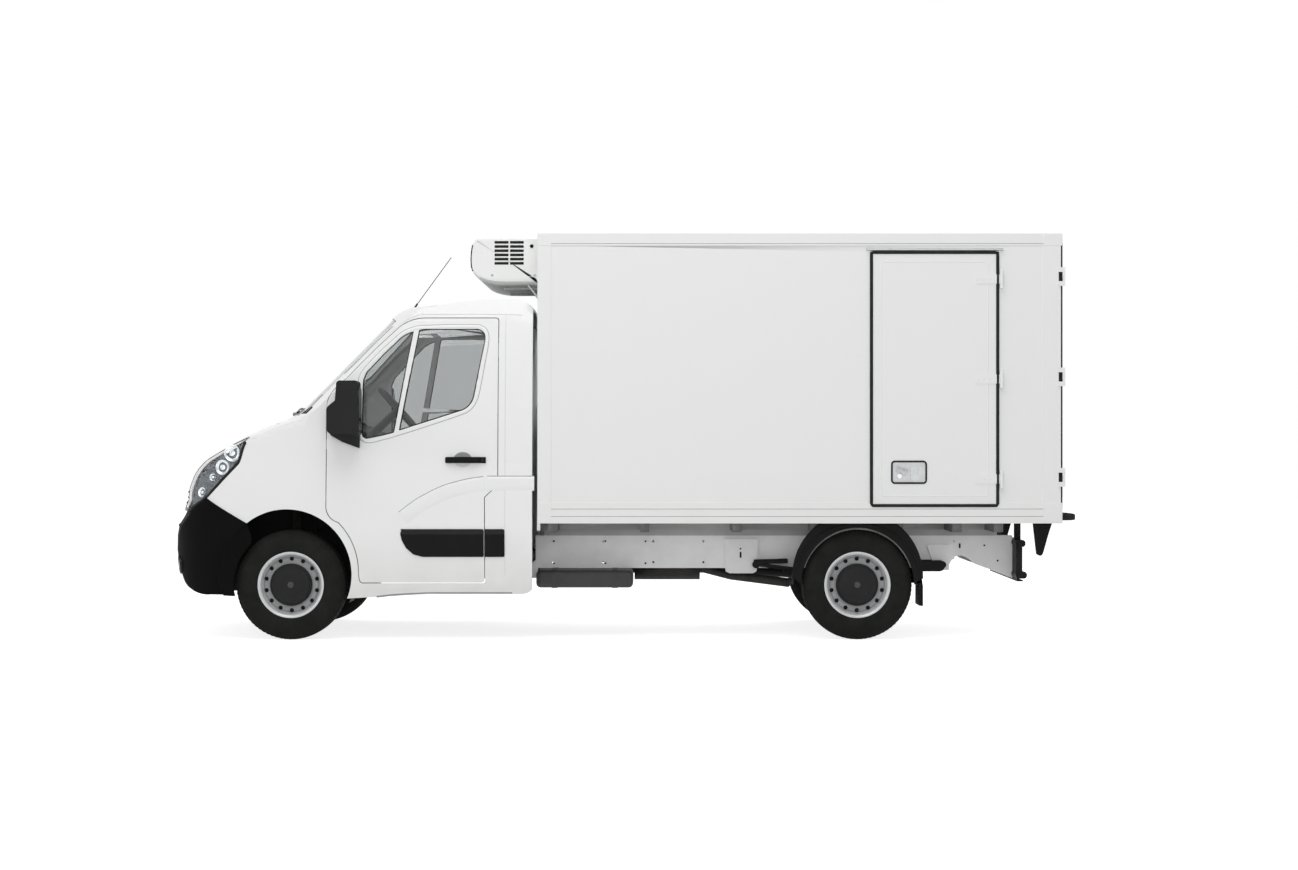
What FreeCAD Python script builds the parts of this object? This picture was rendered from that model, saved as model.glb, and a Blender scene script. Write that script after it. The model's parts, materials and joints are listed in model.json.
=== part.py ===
"""Refrigerated truck: a van-type chassis cab with an insulated box and a nose-mounted cooling unit.

Millimetres, +X forward, +Y to the vehicle's left, +Z up.  Every sub-part is drawn from the front axle
(x = 0 above that axle, z = 0 on the ground) and its Placement carries it to the vehicle's own frame,
whose origin is the middle of the footprint on the ground.
"""
import FreeCAD, Part
import math
import os
import re
import Sketcher
from FreeCAD import Placement, Rotation, Vector

doc = FreeCAD.newDocument("RefrigeratedTruck")

# ---------------------------------------------------------------------------------------------
# Driving dimensions: alias, value, meaning
# ---------------------------------------------------------------------------------------------
SIZES = (
    ("wheelbase", 3682, "front axle to rear axle"),
    ("front_overhang", 855, "front axle to bumper nose on the centre line"),
    ("rear_overhang", 1416, "rear axle to the tips of the rear buffers"),
    ("tyre_radius", 357, "rolling radius of a 235/65 tyre on a 16 inch rim"),
    ("tyre_width", 235, "tyre section width"),
    ("rim_radius", 215, "radius of the rim's outer flange"),
    ("rim_barrel_radius", 190, "inner face of the rim barrel"),
    ("rim_width", 176, "rim width over its flanges"),
    ("rim_holes", 14, "round holes in the rim disc"),
    ("rim_hole_circle", 168, "radius on which the rim holes lie"),
    ("rim_hole_radius", 14, "rim hole radius"),
    ("cap_radius", 135, "black centre cap"),
    ("front_track", 1750, "between front tyre centres"),
    ("rear_track", 1730, "between rear tyre centres"),
    ("steer_axis_y", 800, "steering axis from the centre plane"),
    ("cab_half_width", 1035, "cab at its widest"),
    ("cab_rear_x", -1570, "back of the cab, from the front axle"),
    ("cab_floor_z", 560, "cab floor, upper face"),
    ("cab_sill_z", 300, "lower edge of the sills"),
    ("cab_roof_z", 2240, "cab roof"),
    ("cab_skin", 40, "whole thickness of doors, pillars and roof"),
    ("nose_pivot_x", -2500, "axis about which the rounded nose is turned"),
    ("panel_gap", 5, "shut gap between a moving panel and its frame"),
    ("rebate_gap", 18, "wider gap on the inner side of a door opening"),
    ("glass_thickness", 5, "window glass"),
    ("arch_radius", 420, "front wheel arch"),
    ("arch_centre_x", 20, "arch centre from the front axle"),
    ("arch_centre_z", 430, "arch centre from the ground"),
    ("liner_radius", 450, "inside of the arch liner"),
    ("liner_wall", 6, "arch liner wall"),
    ("rail_centre_y", 430, "frame rail centre line"),
    ("rail_flange", 70, "frame rail width"),
    ("rail_depth", 217, "frame rail depth"),
    ("rail_top_z", 659, "frame rail upper face"),
    ("rail_short", 245, "frame rails' rear end from the box's rear face"),
    ("rail_rear_x", "=box_front_x - box_length + rail_short", "rear end of the frame rails"),
    ("rail_wall", 6, "frame rail plate"),
    ("low_rail_z", 380, "underside of the rail's low part under the cab"),
    ("low_rail_depth", 110, "depth of the low part"),
    ("low_rail_front_x", 560, "front end of the low part"),
    ("subframe_depth", 100, "box subframe depth"),
    ("runner_short", 347, "subframe runner's end from the box's rear face"),
    ("bearer_depth", 60, "depth of the subframe's cross bearers"),
    ("bearer_inset", 90, "bearer ends in from the box's sides"),
    ("beam_length", 1400, "rear beam across the rails' ends"),
    ("beam_width", 40, "rear beam flange"),
    ("beam_depth", 263, "rear beam web"),
    ("beam_wall", 8, "rear beam plate"),
    ("beam_bottom_z", 365, "rear beam underside"),
    ("beam_post_y", 560, "posts from the rear beam up to the box"),
    ("bracket_height", 214, "tapered plate under the box's rear"),
    ("bracket_y", 880, "inner face of the tapered plate"),
    ("bracket_width", 60, "tapered plate, across"),
    ("buffer_reach", 97, "rear buffer past the box"),
    ("buffer_y", 850, "inner face of a rear buffer"),
    ("buffer_width", 110, "rear buffer, across"),
    ("buffer_height", 52, "rear buffer height"),
    ("engine_rear_x", 20, "back of the engine"),
    ("engine_bottom_z", 520, "underside of the engine"),
    ("engine_length", 440, "engine length"),
    ("engine_width", 600, "engine width"),
    ("engine_height", 400, "engine height"),
    ("tank_rear_x", -2223, "back of the fuel tank"),
    ("tank_length", 637, "fuel tank length"),
    ("tank_width", 460, "fuel tank width"),
    ("tank_depth", 114, "fuel tank depth"),
    ("tank_inner_y", 330, "inner side of the fuel tank"),
    ("silencer_radius", 85, "exhaust silencer"),
    ("pipe_radius", 30, "exhaust pipe"),
    ("hole_pitch_x", 335, "pitch of the rail's bolt hole pairs"),
    ("hole_pitch_z", 139, "height between the two holes of a pair"),
    ("hole_radius", 7, "rail bolt hole"),
    ("box_front_x", -1606, "front face of the insulated box"),
    ("box_length", 3395, "insulated box length"),
    ("box_height", 1875, "insulated box height"),
    ("box_width", 2100, "insulated box width over its rails"),
    ("box_wall", 60, "insulated wall"),
    ("box_floor", 80, "insulated floor"),
    ("rail_proud", 6, "how far rails and posts stand off the wall sheets"),
    ("box_bottom_rail", 132, "height of the lower side rail"),
    ("box_top_rail", 76, "height of the upper side rail"),
    ("box_front_post", 87, "width of a front corner post"),
    ("box_rear_post", 123, "width of a rear corner post"),
    ("side_door_front_x", -3777, "side door, front edge"),
    ("side_door_width", 795, "side door width"),
    ("side_door_bottom_z", 885, "side door, lower edge"),
    ("side_door_height", 1616, "side door height"),
    ("door_gap", 14, "gap round an insulated door, filled by its seal"),
    ("hinge_radius", 11, "hinge knuckle radius"),
    ("hinge_out", 20, "hinge pin from the face it lies on"),
    ("hinge_side", 15, "hinge pin past the side wall, rear doors"),
    ("hinge_reach", 34, "hinge pin past the leaf's edge, side door"),
    ("running_fit", 0.3, "clearance between parts that seat on each other"),
    ("cooler_width", 1500, "refrigeration unit width"),
    ("cooler_height", 358, "refrigeration unit height"),
    ("cooler_drop", 14, "refrigeration unit's top below the box's roof"),
    ("cooler_reach", 453, "how far the refrigeration unit stands off the box"),
    ("mirror_tip_y", 1235, "outer edge of a door mirror"),
    ("spring_y", 530, "leaf spring centre line"),
    ("spring_width", 65, "leaf spring width"),
    ("axle_tube_radius", 45, "rear axle tube"),
)

sheet = doc.addObject("Spreadsheet::Sheet", "Sizes")
for row, (alias, value, meaning) in enumerate(SIZES, start=1):
    sheet.set(f"A{row}", meaning)
    sheet.set(f"B{row}", str(value))
    sheet.setAlias(f"B{row}", alias)
doc.recompute()

ALIASES = re.compile(r"\b(" + "|".join(alias for alias, _, _ in SIZES) + r")\b")


def formula(text):
    """Turn a formula in aliases into one that reads the sheet."""
    return ALIASES.sub(r"Sizes.\1", str(text))


class Sheet:
    """Reads the sheet's cells as plain numbers: mm.wheelbase."""

    def __getattr__(self, alias):
        return float(sheet.get(alias))


mm = Sheet()
FRAME_X = "(wheelbase + rear_overhang - front_overhang) / 2"
frame_x = (mm.wheelbase + mm.rear_overhang - mm.front_overhang) / 2
sub_parts = []
OUT_X, OUT_Y, OUT_Z = Vector(1, 0, 0), Vector(0, 1, 0), Vector(0, 0, 1)


# ---------------------------------------------------------------------------------------------
# Document helpers
# ---------------------------------------------------------------------------------------------
def bind(piece, **formulas):
    """Bind properties to formulas in aliases; a double underscore stands for a dot."""
    for name, text in formulas.items():
        piece.setExpression(name.replace("__", "."), formula(text))
    return piece


def place(piece, at):
    """Bind the three coordinates of a piece's Placement."""
    for letter, text in zip("xyz", at):
        piece.setExpression(f"Placement.Base.{letter}", formula(text))
    return piece


def block(name, low, size):
    """A box from its lowest corner and its three sizes, all formulas."""
    piece = doc.addObject("Part::Box", name)
    bind(piece, Length=size[0], Width=size[1], Height=size[2])
    return place(piece, low)


def rod(name, low, radius, length, axis="z"):
    """A cylinder from the centre of its lower face along an axis."""
    piece = doc.addObject("Part::Cylinder", name)
    turn = {"x": Rotation(OUT_Y, 90), "y": Rotation(OUT_X, -90), "z": Rotation()}[axis]
    piece.Placement = Placement(Vector(), turn)
    bind(piece, Radius=radius, Height=length)
    return place(piece, low)


def fuse(name, pieces):
    """Join pieces into one."""
    joined = doc.addObject("Part::MultiFuse", name)
    joined.Shapes = pieces
    return joined


def cut(name, base, tool):
    """Take one piece out of another."""
    rest = doc.addObject("Part::Cut", name)
    rest.Base = base
    rest.Tool = tool
    return rest


def mirrored(name, source):
    """The same piece on the other side of the centre plane."""
    twin = doc.addObject("Part::Mirroring", name)
    twin.Source = source
    twin.Normal = OUT_Y
    return twin


def both_sides(name, source):
    """A piece and its twin as one sub-part of solids that don't touch."""
    pair = doc.addObject("Part::Compound", name)
    pair.Links = [source, mirrored(name + "_twin", source)]
    return pair


def group(name, pieces):
    """Pieces that lie together as one sub-part without being joined."""
    together = doc.addObject("Part::Compound", name)
    together.Links = pieces
    return together


def sub_part(piece, label, at=(FRAME_X, "0", "0")):
    """Name a sub-part and place it in the vehicle's frame."""
    piece.Label = label
    place(piece, at)
    sub_parts.append(piece)
    return piece


def free_form(label, shape):
    """A sub-part whose curved shape is worked out here from the sheet's sizes."""
    piece = doc.addObject("Part::Feature", label)
    piece.Shape = shape
    return sub_part(piece, label)


# ---------------------------------------------------------------------------------------------
# Geometry helpers for curved pieces
# ---------------------------------------------------------------------------------------------
def spot(plane, first, second):
    """A point in the side (x, z), front (y, z) or plan (x, y) view."""
    return {"side": Vector(first, 0, second), "front": Vector(0, first, second),
            "plan": Vector(first, second, 0)}[plane]


def moved_out(steps, amount):
    """The same steps with every corner moved outwards by an amount, or inwards if it is negative."""
    spots = [(step[index], step[index + 1]) for step in steps for index in range(0, len(step), 2)]
    count = len(spots)
    turn = sum(spots[index - 1][0] * spots[index][1] - spots[index][0] * spots[index - 1][1]
               for index in range(count))
    reach = math.copysign(amount, turn * amount) if amount else 0
    moved = []
    for index, (first, second) in enumerate(spots):
        normals = []
        for start, end in ((spots[index - 1], spots[index]), (spots[index], spots[(index + 1) % count])):
            length = math.dist(start, end)
            normals.append(((end[1] - start[1]) / length, (start[0] - end[0]) / length))
        (ax, ay), (bx, by) = normals
        share = reach / max(1 + ax * bx + ay * by, 0.5)
        moved.append((first + share * (ax + bx), second + share * (ay + by)))
    feed = iter(moved)
    return tuple(tuple(value for _ in range(0, len(step), 2) for value in next(feed)) for step in steps)


def outline(plane, *steps, grow=0):
    """A closed face: each step is (a, b) for a line or (middle a, middle b, a, b) for an arc."""
    if grow:
        steps = moved_out(steps, grow)
    edges = []
    here = spot(plane, *steps[0])
    for step in steps[1:] + steps[:1]:
        end = spot(plane, *step[-2:])
        if len(step) == 4:
            edges.append(Part.Arc(here, spot(plane, *step[:2]), end).toShape())
        else:
            edges.append(Part.LineSegment(here, end).toShape())
        here = end
    return Part.Face(Part.Wire(edges))


def prism(face, start, length):
    """Push a side, front or plan outline along its own normal from a start value."""
    normal = OUT_Y if face.BoundBox.YLength < 1e-6 else OUT_X if face.BoundBox.XLength < 1e-6 else OUT_Z
    moved = face.copy()
    moved.translate(normal * start)
    return moved.extrude(normal * length)


def brick(x, y, z):
    """A box from three (low, high) pairs."""
    return Part.makeBox(x[1] - x[0], y[1] - y[0], z[1] - z[0], Vector(x[0], y[0], z[0]))


def drum(centre, radius, axis, length):
    """A cylinder from the centre of its first face."""
    return Part.makeCylinder(radius, length, Vector(*centre), axis)


def turned(face, axis_point, axis, angle, start=0):
    """Revolve a face about an axis, from a start angle."""
    first = face.copy()
    if start:
        first.rotate(axis_point, axis, start)
    return first.revolve(axis_point, axis, angle)


def flip(shape):
    """The mirror image across the centre plane."""
    return shape.mirror(Vector(), OUT_Y)


def pair(shape):
    """A piece and its mirror image, as two solids."""
    return Part.makeCompound([shape, flip(shape)])


def tidy(shape):
    """Join faces that are one surface, and keep only solids."""
    clean = shape.removeSplitter()
    solids = [solid for solid in clean.Solids if solid.Volume > 2000]
    return solids[0] if len(solids) == 1 else Part.makeCompound(solids)


# ---------------------------------------------------------------------------------------------
# Frame: two deep C rails, crossmembers, and the subframe that carries the box
# ---------------------------------------------------------------------------------------------
def fixed_shape(name, shape):
    """A document object for a shape that no primitive gives."""
    piece = doc.addObject("Part::Feature", name)
    piece.Shape = shape
    return piece


def rail_relief():
    """What is cut from the rail's foot above the springs' rear shackles."""
    end, top = mm.rail_rear_x, mm.rail_top_z
    foot = top - mm.rail_depth - 1
    face = outline("side", (end + 425, foot), (end + 421, top - 193), (end + 397, top - 150),
                   (end + 350, top - 134, end + 302, top - 150), (end + 249, top - 190), (end + 174, foot))
    return fixed_shape("rail_relief", prism(face, mm.rail_centre_y - mm.rail_flange, 2 * mm.rail_flange))


def rail_gusset():
    """The plate that carries the rail's web down to the foot of the rear beam."""
    end, foot = mm.rail_rear_x, mm.rail_top_z - mm.rail_depth
    face = outline("side", (end, foot + 10), (end, foot - 68), (end + 174, foot), (end + 174, foot + 10))
    web = mm.rail_centre_y + mm.rail_flange / 2 - mm.rail_wall
    return fixed_shape("rail_gusset", prism(face, web, mm.rail_wall))


def frame_rail():
    """A C rail behind the cab, drilled with hole pairs, that goes on as a low box rail under the cab."""
    web = block("rail_solid", ("rail_rear_x", "rail_centre_y - rail_flange / 2", "rail_top_z - rail_depth"),
                ("cab_rear_x - rail_rear_x", "rail_flange", "rail_depth"))
    hollow = block("rail_hollow", ("rail_rear_x - 1", "rail_centre_y - rail_flange / 2 - rail_wall",
                                   "rail_top_z - rail_depth + rail_wall"),
                   ("cab_rear_x - rail_rear_x + 2", "rail_flange", "rail_depth - 2 * rail_wall"))
    low_rail = block("rail_low", ("cab_rear_x - 15", "rail_centre_y - rail_flange / 2", "low_rail_z"),
                     ("low_rail_front_x - cab_rear_x + 15", "rail_flange", "low_rail_depth"))
    holes = []
    for index in range(9):
        for level, side in ((0, "-"), (1, "+")):
            holes.append(rod(f"rail_hole_{index}_{level}",
                             (f"box_front_x - 80 - {index} * hole_pitch_x", "rail_centre_y - rail_flange",
                              f"rail_top_z - rail_depth / 2 {side} hole_pitch_z / 2"),
                             "hole_radius", "2 * rail_flange", "y"))
    channel = cut("rail_channel", web, hollow)
    drilled = cut("rail_drilled", channel, fuse("rail_holes", holes))
    return fuse("rail_whole", [cut("rail_relieved", drilled, rail_relief()), rail_gusset(), low_rail])


sub_part(both_sides("frame_rails_pair", frame_rail()), "frame_rails")

LOW_SEAT, DEEP_SEAT = "(rail_centre_y - rail_flange / 2)", "(rail_centre_y + rail_flange / 2 - rail_wall)"
CROSSMEMBERS = (  # x from the front axle, half length, underside, depth
    (520, LOW_SEAT, "low_rail_z", 110), (-620, LOW_SEAT, "low_rail_z + 50", 60),
    (-1800, DEEP_SEAT, "rail_top_z - 160", 110), (-2900, DEEP_SEAT, "rail_top_z - 160", 110),
    (-4330, DEEP_SEAT, "rail_top_z - 160", 110))
members = []
for index, (member_x, half, low, depth) in enumerate(CROSSMEMBERS):
    members.append(block(f"member_{index}", (member_x - 40, f"-{half}", low), (80, f"2 * {half}", depth)))
sub_part(group("crossmembers_set", members), "crossmembers")

SUBFRAME_BEARERS = (-1700, -2300, -2900, -3420, -3950, -4330, -4600)  # x from the front axle
bearers = []
for side, sign in (("left", "1"), ("right", "-1")):
    bearers.append(block(f"runner_{side}", ("box_front_x - box_length + runner_short",
                                            f"{sign} * rail_centre_y - rail_flange / 2", "rail_top_z"),
                         ("box_length - runner_short - 20", "rail_flange", "subframe_depth")))
for index, bearer_x in enumerate(SUBFRAME_BEARERS):
    bearers.append(block(f"bearer_{index}", (bearer_x - 30, "bearer_inset - box_width / 2",
                                             "rail_top_z + subframe_depth - bearer_depth"),
                         (60, "box_width - 2 * bearer_inset", "bearer_depth")))
sub_part(fuse("subframe_joined", bearers), "subframe")

beam = cut("rear_beam_channel",
           block("rear_beam_solid", ("rail_rear_x - beam_width", "-beam_length / 2", "beam_bottom_z"),
                 ("beam_width", "beam_length", "beam_depth")),
           block("rear_beam_hollow",
                 ("rail_rear_x - beam_width - 1", "-beam_length / 2 - 1", "beam_bottom_z + beam_wall"),
                 ("beam_width - beam_wall + 1", "beam_length + 2", "beam_depth - 2 * beam_wall")))
posts = [block(f"beam_post_{side}", ("rail_rear_x - beam_width", f"{sign} * beam_post_y - beam_width / 2",
                                     "beam_bottom_z + beam_depth"),
               ("beam_width", "beam_width", "rail_top_z + subframe_depth - beam_bottom_z - beam_depth"))
         for side, sign in (("left", "1"), ("right", "-1"))]
sub_part(fuse("rear_beam_posted", [beam] + posts), "rear_beam")


box_floor_z = mm.rail_top_z + mm.subframe_depth
box_back_x = mm.box_front_x - mm.box_length


def rear_bracket():
    """The tapered plate that hangs below the rear of the box."""
    low_z = box_floor_z - mm.bracket_height
    face = outline("side", (box_back_x + 170, box_floor_z), (box_back_x + 141, low_z),
                   (box_back_x + 103, low_z), (box_back_x + 49, box_floor_z))
    return prism(face, mm.bracket_y, mm.bracket_width)


free_form("rear_brackets", pair(rear_bracket()))
buffer = block("buffer_block",
               ("box_front_x - box_length - buffer_reach", "buffer_y", "rail_top_z + subframe_depth + 16"),
               ("buffer_reach", "buffer_width", "buffer_height"))
sub_part(both_sides("buffer_pair", buffer), "rear_buffers")

# ---------------------------------------------------------------------------------------------
# Driveline, tank and exhaust
# ---------------------------------------------------------------------------------------------
engine = block("engine_solid", ("engine_rear_x", "-engine_width / 2", "engine_bottom_z"),
               ("engine_length", "engine_width", "engine_height"))
sub_part(group("engine_mass", [engine]), "engine_block")

tank = block("tank_solid",
             ("tank_rear_x", "tank_inner_y", "rail_top_z - rail_depth - running_fit - tank_depth"),
             ("tank_length", "tank_width", "tank_depth"))
tank_round = doc.addObject("Part::Fillet", "tank_round")
tank_round.Base = tank
doc.recompute()
tank_round.Edges = [(number, 30, 30) for number in range(1, len(tank.Shape.Edges) + 1)]
sub_part(group("fuel_tank_set", [tank_round]), "fuel_tank")


def pipe_run(points, radius):
    """A round bar along straight runs with a ball at each bend."""
    path = [Vector(*point) for point in points]
    pieces = []
    for start, end in zip(path, path[1:]):
        pieces.append(Part.makeCylinder(radius, (end - start).Length, start, end - start))
    pieces += [Part.makeSphere(radius, point) for point in path[1:-1]]
    joined = pieces[0].multiFuse(pieces[1:]) if len(pieces) > 1 else pieces[0]
    return joined.removeSplitter()


def exhaust():
    """Silencer beside the rail, with the front pipe and the tailpipe that goes back over the axle's side."""
    silencer = pipe_run([(-2230, 270, 440), (-2670, 270, 440)], mm.silencer_radius)
    pipes = pipe_run([(300, 150, 519.7), (300, 150, 375), (-1000, 270, 375), (-1600, 270, 430),
                      (-2700, 270, 430), (-2880, 310, 385), (-3252, 600, 352)], mm.pipe_radius)
    hanger = brick((-2480, -2460), (300, mm.rail_centre_y - mm.rail_flange / 2), (440, 470))
    return tidy(silencer.fuse(pipes).fuse(hanger))


free_form("exhaust", exhaust())

# ---------------------------------------------------------------------------------------------
# Axles, springs and front suspension
# ---------------------------------------------------------------------------------------------
rear_x = -mm.wheelbase
rim_seat = 26  # the rim disc's inner face, inboard of the tyre's centre plane
hub_face_y = mm.rear_track / 2 - rim_seat - mm.running_fit - 35


def rear_axle():
    """Axle tube with its final drive housing and hub flanges."""
    tube = drum((rear_x, -hub_face_y, mm.tyre_radius), mm.axle_tube_radius, OUT_Y, 2 * hub_face_y)
    housing = Part.makeSphere(150, Vector(rear_x, 0, mm.tyre_radius))
    pads = [brick((rear_x - 60, rear_x + 60), (side * mm.spring_y - 40, side * mm.spring_y + 40),
                  (mm.tyre_radius, mm.tyre_radius + 50)) for side in (1, -1)]
    drums = [drum((rear_x, side * hub_face_y - 35, mm.tyre_radius), 120, OUT_Y, 70) for side in (1, -1)]
    return tidy(tube.multiFuse([housing] + pads + drums))


def leaf_spring():
    """A flat bow from the front hanger to the rear shackle, resting on the axle's pad."""
    pad_z = mm.tyre_radius + 50
    low = outline("side", (-3040, 460), (rear_x, pad_z, -4275, 452), (-4275, 474),
                  (rear_x, pad_z + 24, -3040, 484))
    bow = prism(low, mm.spring_y - mm.spring_width / 2, mm.spring_width)
    eyes = [drum((eye_x, mm.spring_y - mm.spring_width / 2, 468), 24, OUT_Y, mm.spring_width)
            for eye_x in (-3040, -4280)]
    return bow.multiFuse(eyes).removeSplitter()


def spring_hangers():
    """Plates on the rail's outer face that carry the spring's eyes."""
    rail_face = mm.rail_centre_y + mm.rail_flange / 2
    inner = mm.spring_y - mm.spring_width / 2
    front = outline("side", (-2831, 638), (-3053, 638), (-3053, 470), (-3044, 420), (-3020, 408), (-2866, 408),
                    (-2840, 420), (-2831, 470))
    rear = outline("side", (-4180, 600), (-4330, 600), (-4330, 430), (-4240, 430))
    return [prism(face, rail_face, inner - rail_face) for face in (front, rear)]


free_form("rear_axle", rear_axle())
free_form("leaf_springs", pair(leaf_spring()))
hangers = spring_hangers()
free_form("spring_hangers", Part.makeCompound(hangers + [flip(hanger) for hanger in hangers]))


KNUCKLE_RADIUS = 88


def front_suspension():
    """Cross beam under the engine with lower arms and strut towers."""
    beam_solid = brick((-130, 130), (-560, 560), (250, 330))
    pieces = []
    for side in (1, -1):
        pieces.append(brick((-30, 30), sorted((side * 500, side * 690)), (262, 300)))
        pieces.append(drum((0, side * 600, 300), 18, OUT_Y * side, mm.steer_axis_y - KNUCKLE_RADIUS - 600.3))
        pieces.append(brick((-110, 110), sorted((side * 395, side * 465)), (330, mm.low_rail_z)))
        pieces.append(drum((0, side * 660, 290), 28, OUT_Z, 640))
        pieces.append(brick((-60, 60), sorted((side * 465, side * 690)), (900, 930)))
        pieces.append(brick((-60, 60), sorted((side * 465, side * 480)), (400, 930)))
    return tidy(beam_solid.multiFuse(pieces))


free_form("front_suspension", front_suspension())

# ---------------------------------------------------------------------------------------------
# Wheels: tyre and rim are turned about the wheel's own axis, then set on their axles
# ---------------------------------------------------------------------------------------------
def closed_sketch(body, name, plane_role, corners):
    """A closed line sketch whose corner places are bound to formulas."""
    sketch = body.newObject("Sketcher::SketchObject", name)
    plane = next(item for item in body.Origin.OriginFeatures if item.Role == plane_role)
    sketch.AttachmentSupport = [(plane, "")]
    sketch.MapMode = "FlatFace"
    count = len(corners)
    values = [[evaluate(text) for text in corner] for corner in corners]
    for index in range(count):
        start, end = values[index], values[(index + 1) % count]
        sketch.addGeometry(Part.LineSegment(Vector(*start, 0), Vector(*end, 0)), False)
    for index in range(count):
        sketch.addConstraint(Sketcher.Constraint("Coincident", index, 2, (index + 1) % count, 1))
    for index, corner in enumerate(corners):
        for kind, value, text in zip(("DistanceX", "DistanceY"), values[index], corner):
            sketch.addConstraint(Sketcher.Constraint(kind, -1, 1, index, 1, value))
            sketch.setExpression(f"Constraints[{sketch.ConstraintCount - 1}]", formula(text))
    return sketch


def evaluate(text):
    """The value of a formula in aliases and the four operations."""
    sheet.set("D1", "=" + re.sub(ALIASES, lambda match: match.group(1), str(text)))
    doc.recompute([sheet])
    return float(sheet.get("D1"))


def tyre_body(label, at, turn):
    """A tyre: its section is turned about the wheel axis and its shoulders are rounded."""
    body = doc.addObject("PartDesign::Body", label)
    half = "tyre_width / 2"
    section = closed_sketch(body, label + "_section", "XY_Plane", (
        ("rim_radius - 12.7", "-rim_width / 2 + 4"), ("rim_radius + 1", "-rim_width / 2 - 4"),
        ("rim_radius + 8", f"-{half} + 8"),
        ("rim_radius + 62", f"-{half}"), ("tyre_radius - 32", f"-{half} + 4"), ("tyre_radius - 4", f"-{half} + 26"),
        ("tyre_radius", f"-{half} + 60"), ("tyre_radius", f"{half} - 60"), ("tyre_radius - 4", f"{half} - 26"),
        ("tyre_radius - 32", f"{half} - 4"), ("rim_radius + 62", half), ("rim_radius + 8", f"{half} - 4"),
        ("rim_radius + 0.4", f"{half} - 9"), ("rim_radius + 0.4", "rim_width / 2 - 3"),
        ("rim_radius - 12.7", "rim_width / 2 - 4")))
    ring = body.newObject("PartDesign::Revolution", label + "_ring")
    ring.Profile = section
    ring.ReferenceAxis = (section, ["V_Axis"])
    ring.Angle = 360
    body.Placement.Rotation = turn
    return sub_part(body, label, at)


def rim_body(label, at, turn):
    """A pressed rim: barrel, dished disc and domed cap turned in one, with a ring of holes."""
    body = doc.addObject("PartDesign::Body", label)
    outer, inner = "rim_width / 2", "-rim_width / 2"
    section = closed_sketch(body, label + "_section", "XY_Plane", (
        ("0", f"{inner} + 62"), ("cap_radius - 14", f"{inner} + 62"), ("cap_radius + 10", f"{outer} - 62"),
        ("rim_barrel_radius - 12", f"{outer} - 70"), ("rim_barrel_radius - 6", f"{inner} + 4"),
        ("rim_radius - 13", f"{inner} + 4"), ("rim_radius - 13", f"{inner} + 30"),
        ("rim_barrel_radius + 2", f"{inner} + 46"), ("rim_barrel_radius + 2", f"{outer} - 34"),
        ("rim_radius - 13", f"{outer} - 14"), ("rim_radius - 13", f"{outer} - 3"), ("rim_radius", f"{outer} + 2"),
        ("rim_radius", f"{outer} + 10"), ("rim_radius - 7", f"{outer} + 12"), ("rim_radius - 20", f"{outer} + 2"),
        ("rim_barrel_radius - 8", f"{outer} - 38"), ("rim_barrel_radius - 22", f"{outer} - 48"),
        ("cap_radius + 8", f"{outer} - 40"), ("cap_radius", f"{outer} - 26"), ("cap_radius - 12", f"{outer} - 8"),
        ("cap_radius / 2", f"{outer} + 8"), ("0", f"{outer} + 12")))
    disc = body.newObject("PartDesign::Revolution", label + "_disc")
    disc.Profile = section
    disc.ReferenceAxis = (section, ["V_Axis"])
    disc.Angle = 360
    doc.recompute()
    hole = body.newObject("Sketcher::SketchObject", label + "_hole")
    plane = next(item for item in body.Origin.OriginFeatures if item.Role == "XZ_Plane")
    hole.AttachmentSupport = [(plane, "")]
    hole.MapMode = "FlatFace"
    hole.addGeometry(Part.Circle(Vector(0, mm.rim_hole_circle, 0), OUT_Z, mm.rim_hole_radius), False)
    hole.addConstraint(Sketcher.Constraint("DistanceX", -1, 1, 0, 3, 0))
    hole.addConstraint(Sketcher.Constraint("DistanceY", -1, 1, 0, 3, mm.rim_hole_circle))
    hole.addConstraint(Sketcher.Constraint("Radius", 0, mm.rim_hole_radius))
    hole.setExpression("Constraints[1]", formula("rim_hole_circle"))
    hole.setExpression("Constraints[2]", formula("rim_hole_radius"))
    bore = body.newObject("PartDesign::Pocket", label + "_bore")
    bore.Profile = hole
    bore.Type = 1
    bore.Midplane = True
    doc.recompute()
    holes = body.newObject("PartDesign::PolarPattern", label + "_holes")
    holes.Originals = [bore]
    holes.Axis = (next(item for item in body.Origin.OriginFeatures if item.Role == "Y_Axis"), [""])
    holes.Angle = 360
    holes.setExpression("Occurrences", formula("rim_holes"))
    body.Tip = holes
    body.Placement.Rotation = turn
    return sub_part(body, label, at)


WHEELS = (  # label, axle x, track, side
    ("front_left", "0", "front_track", 1), ("front_right", "0", "front_track", -1),
    ("rear_left", "-wheelbase", "rear_track", 1), ("rear_right", "-wheelbase", "rear_track", -1))
for name, axle_x, track, side in WHEELS:
    centre = (f"{FRAME_X} + {axle_x}", f"{side} * {track} / 2", "tyre_radius")
    spin = Rotation() if side > 0 else Rotation(OUT_Z, 180)
    tyre_body(f"tyre_{name}", centre, spin)
    rim_body(f"rim_{name}", centre, spin)


def knuckle():
    """Steering knuckle: a round upright on the steering axis with the hub that the rim seats on."""
    upright = drum((0, mm.steer_axis_y, mm.tyre_radius - 80), KNUCKLE_RADIUS, OUT_Z, 160)
    upright = upright.common(brick((-200, 200), (0, mm.steer_axis_y + 1), (0, 900)))
    hub = drum((0, mm.steer_axis_y, mm.tyre_radius), 80, OUT_Y,
               mm.front_track / 2 - rim_seat - mm.running_fit - mm.steer_axis_y)
    return tidy(upright.fuse(hub))


for label, shape in (("knuckle_left", knuckle()), ("knuckle_right", flip(knuckle()))):
    free_form(label, shape)

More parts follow.
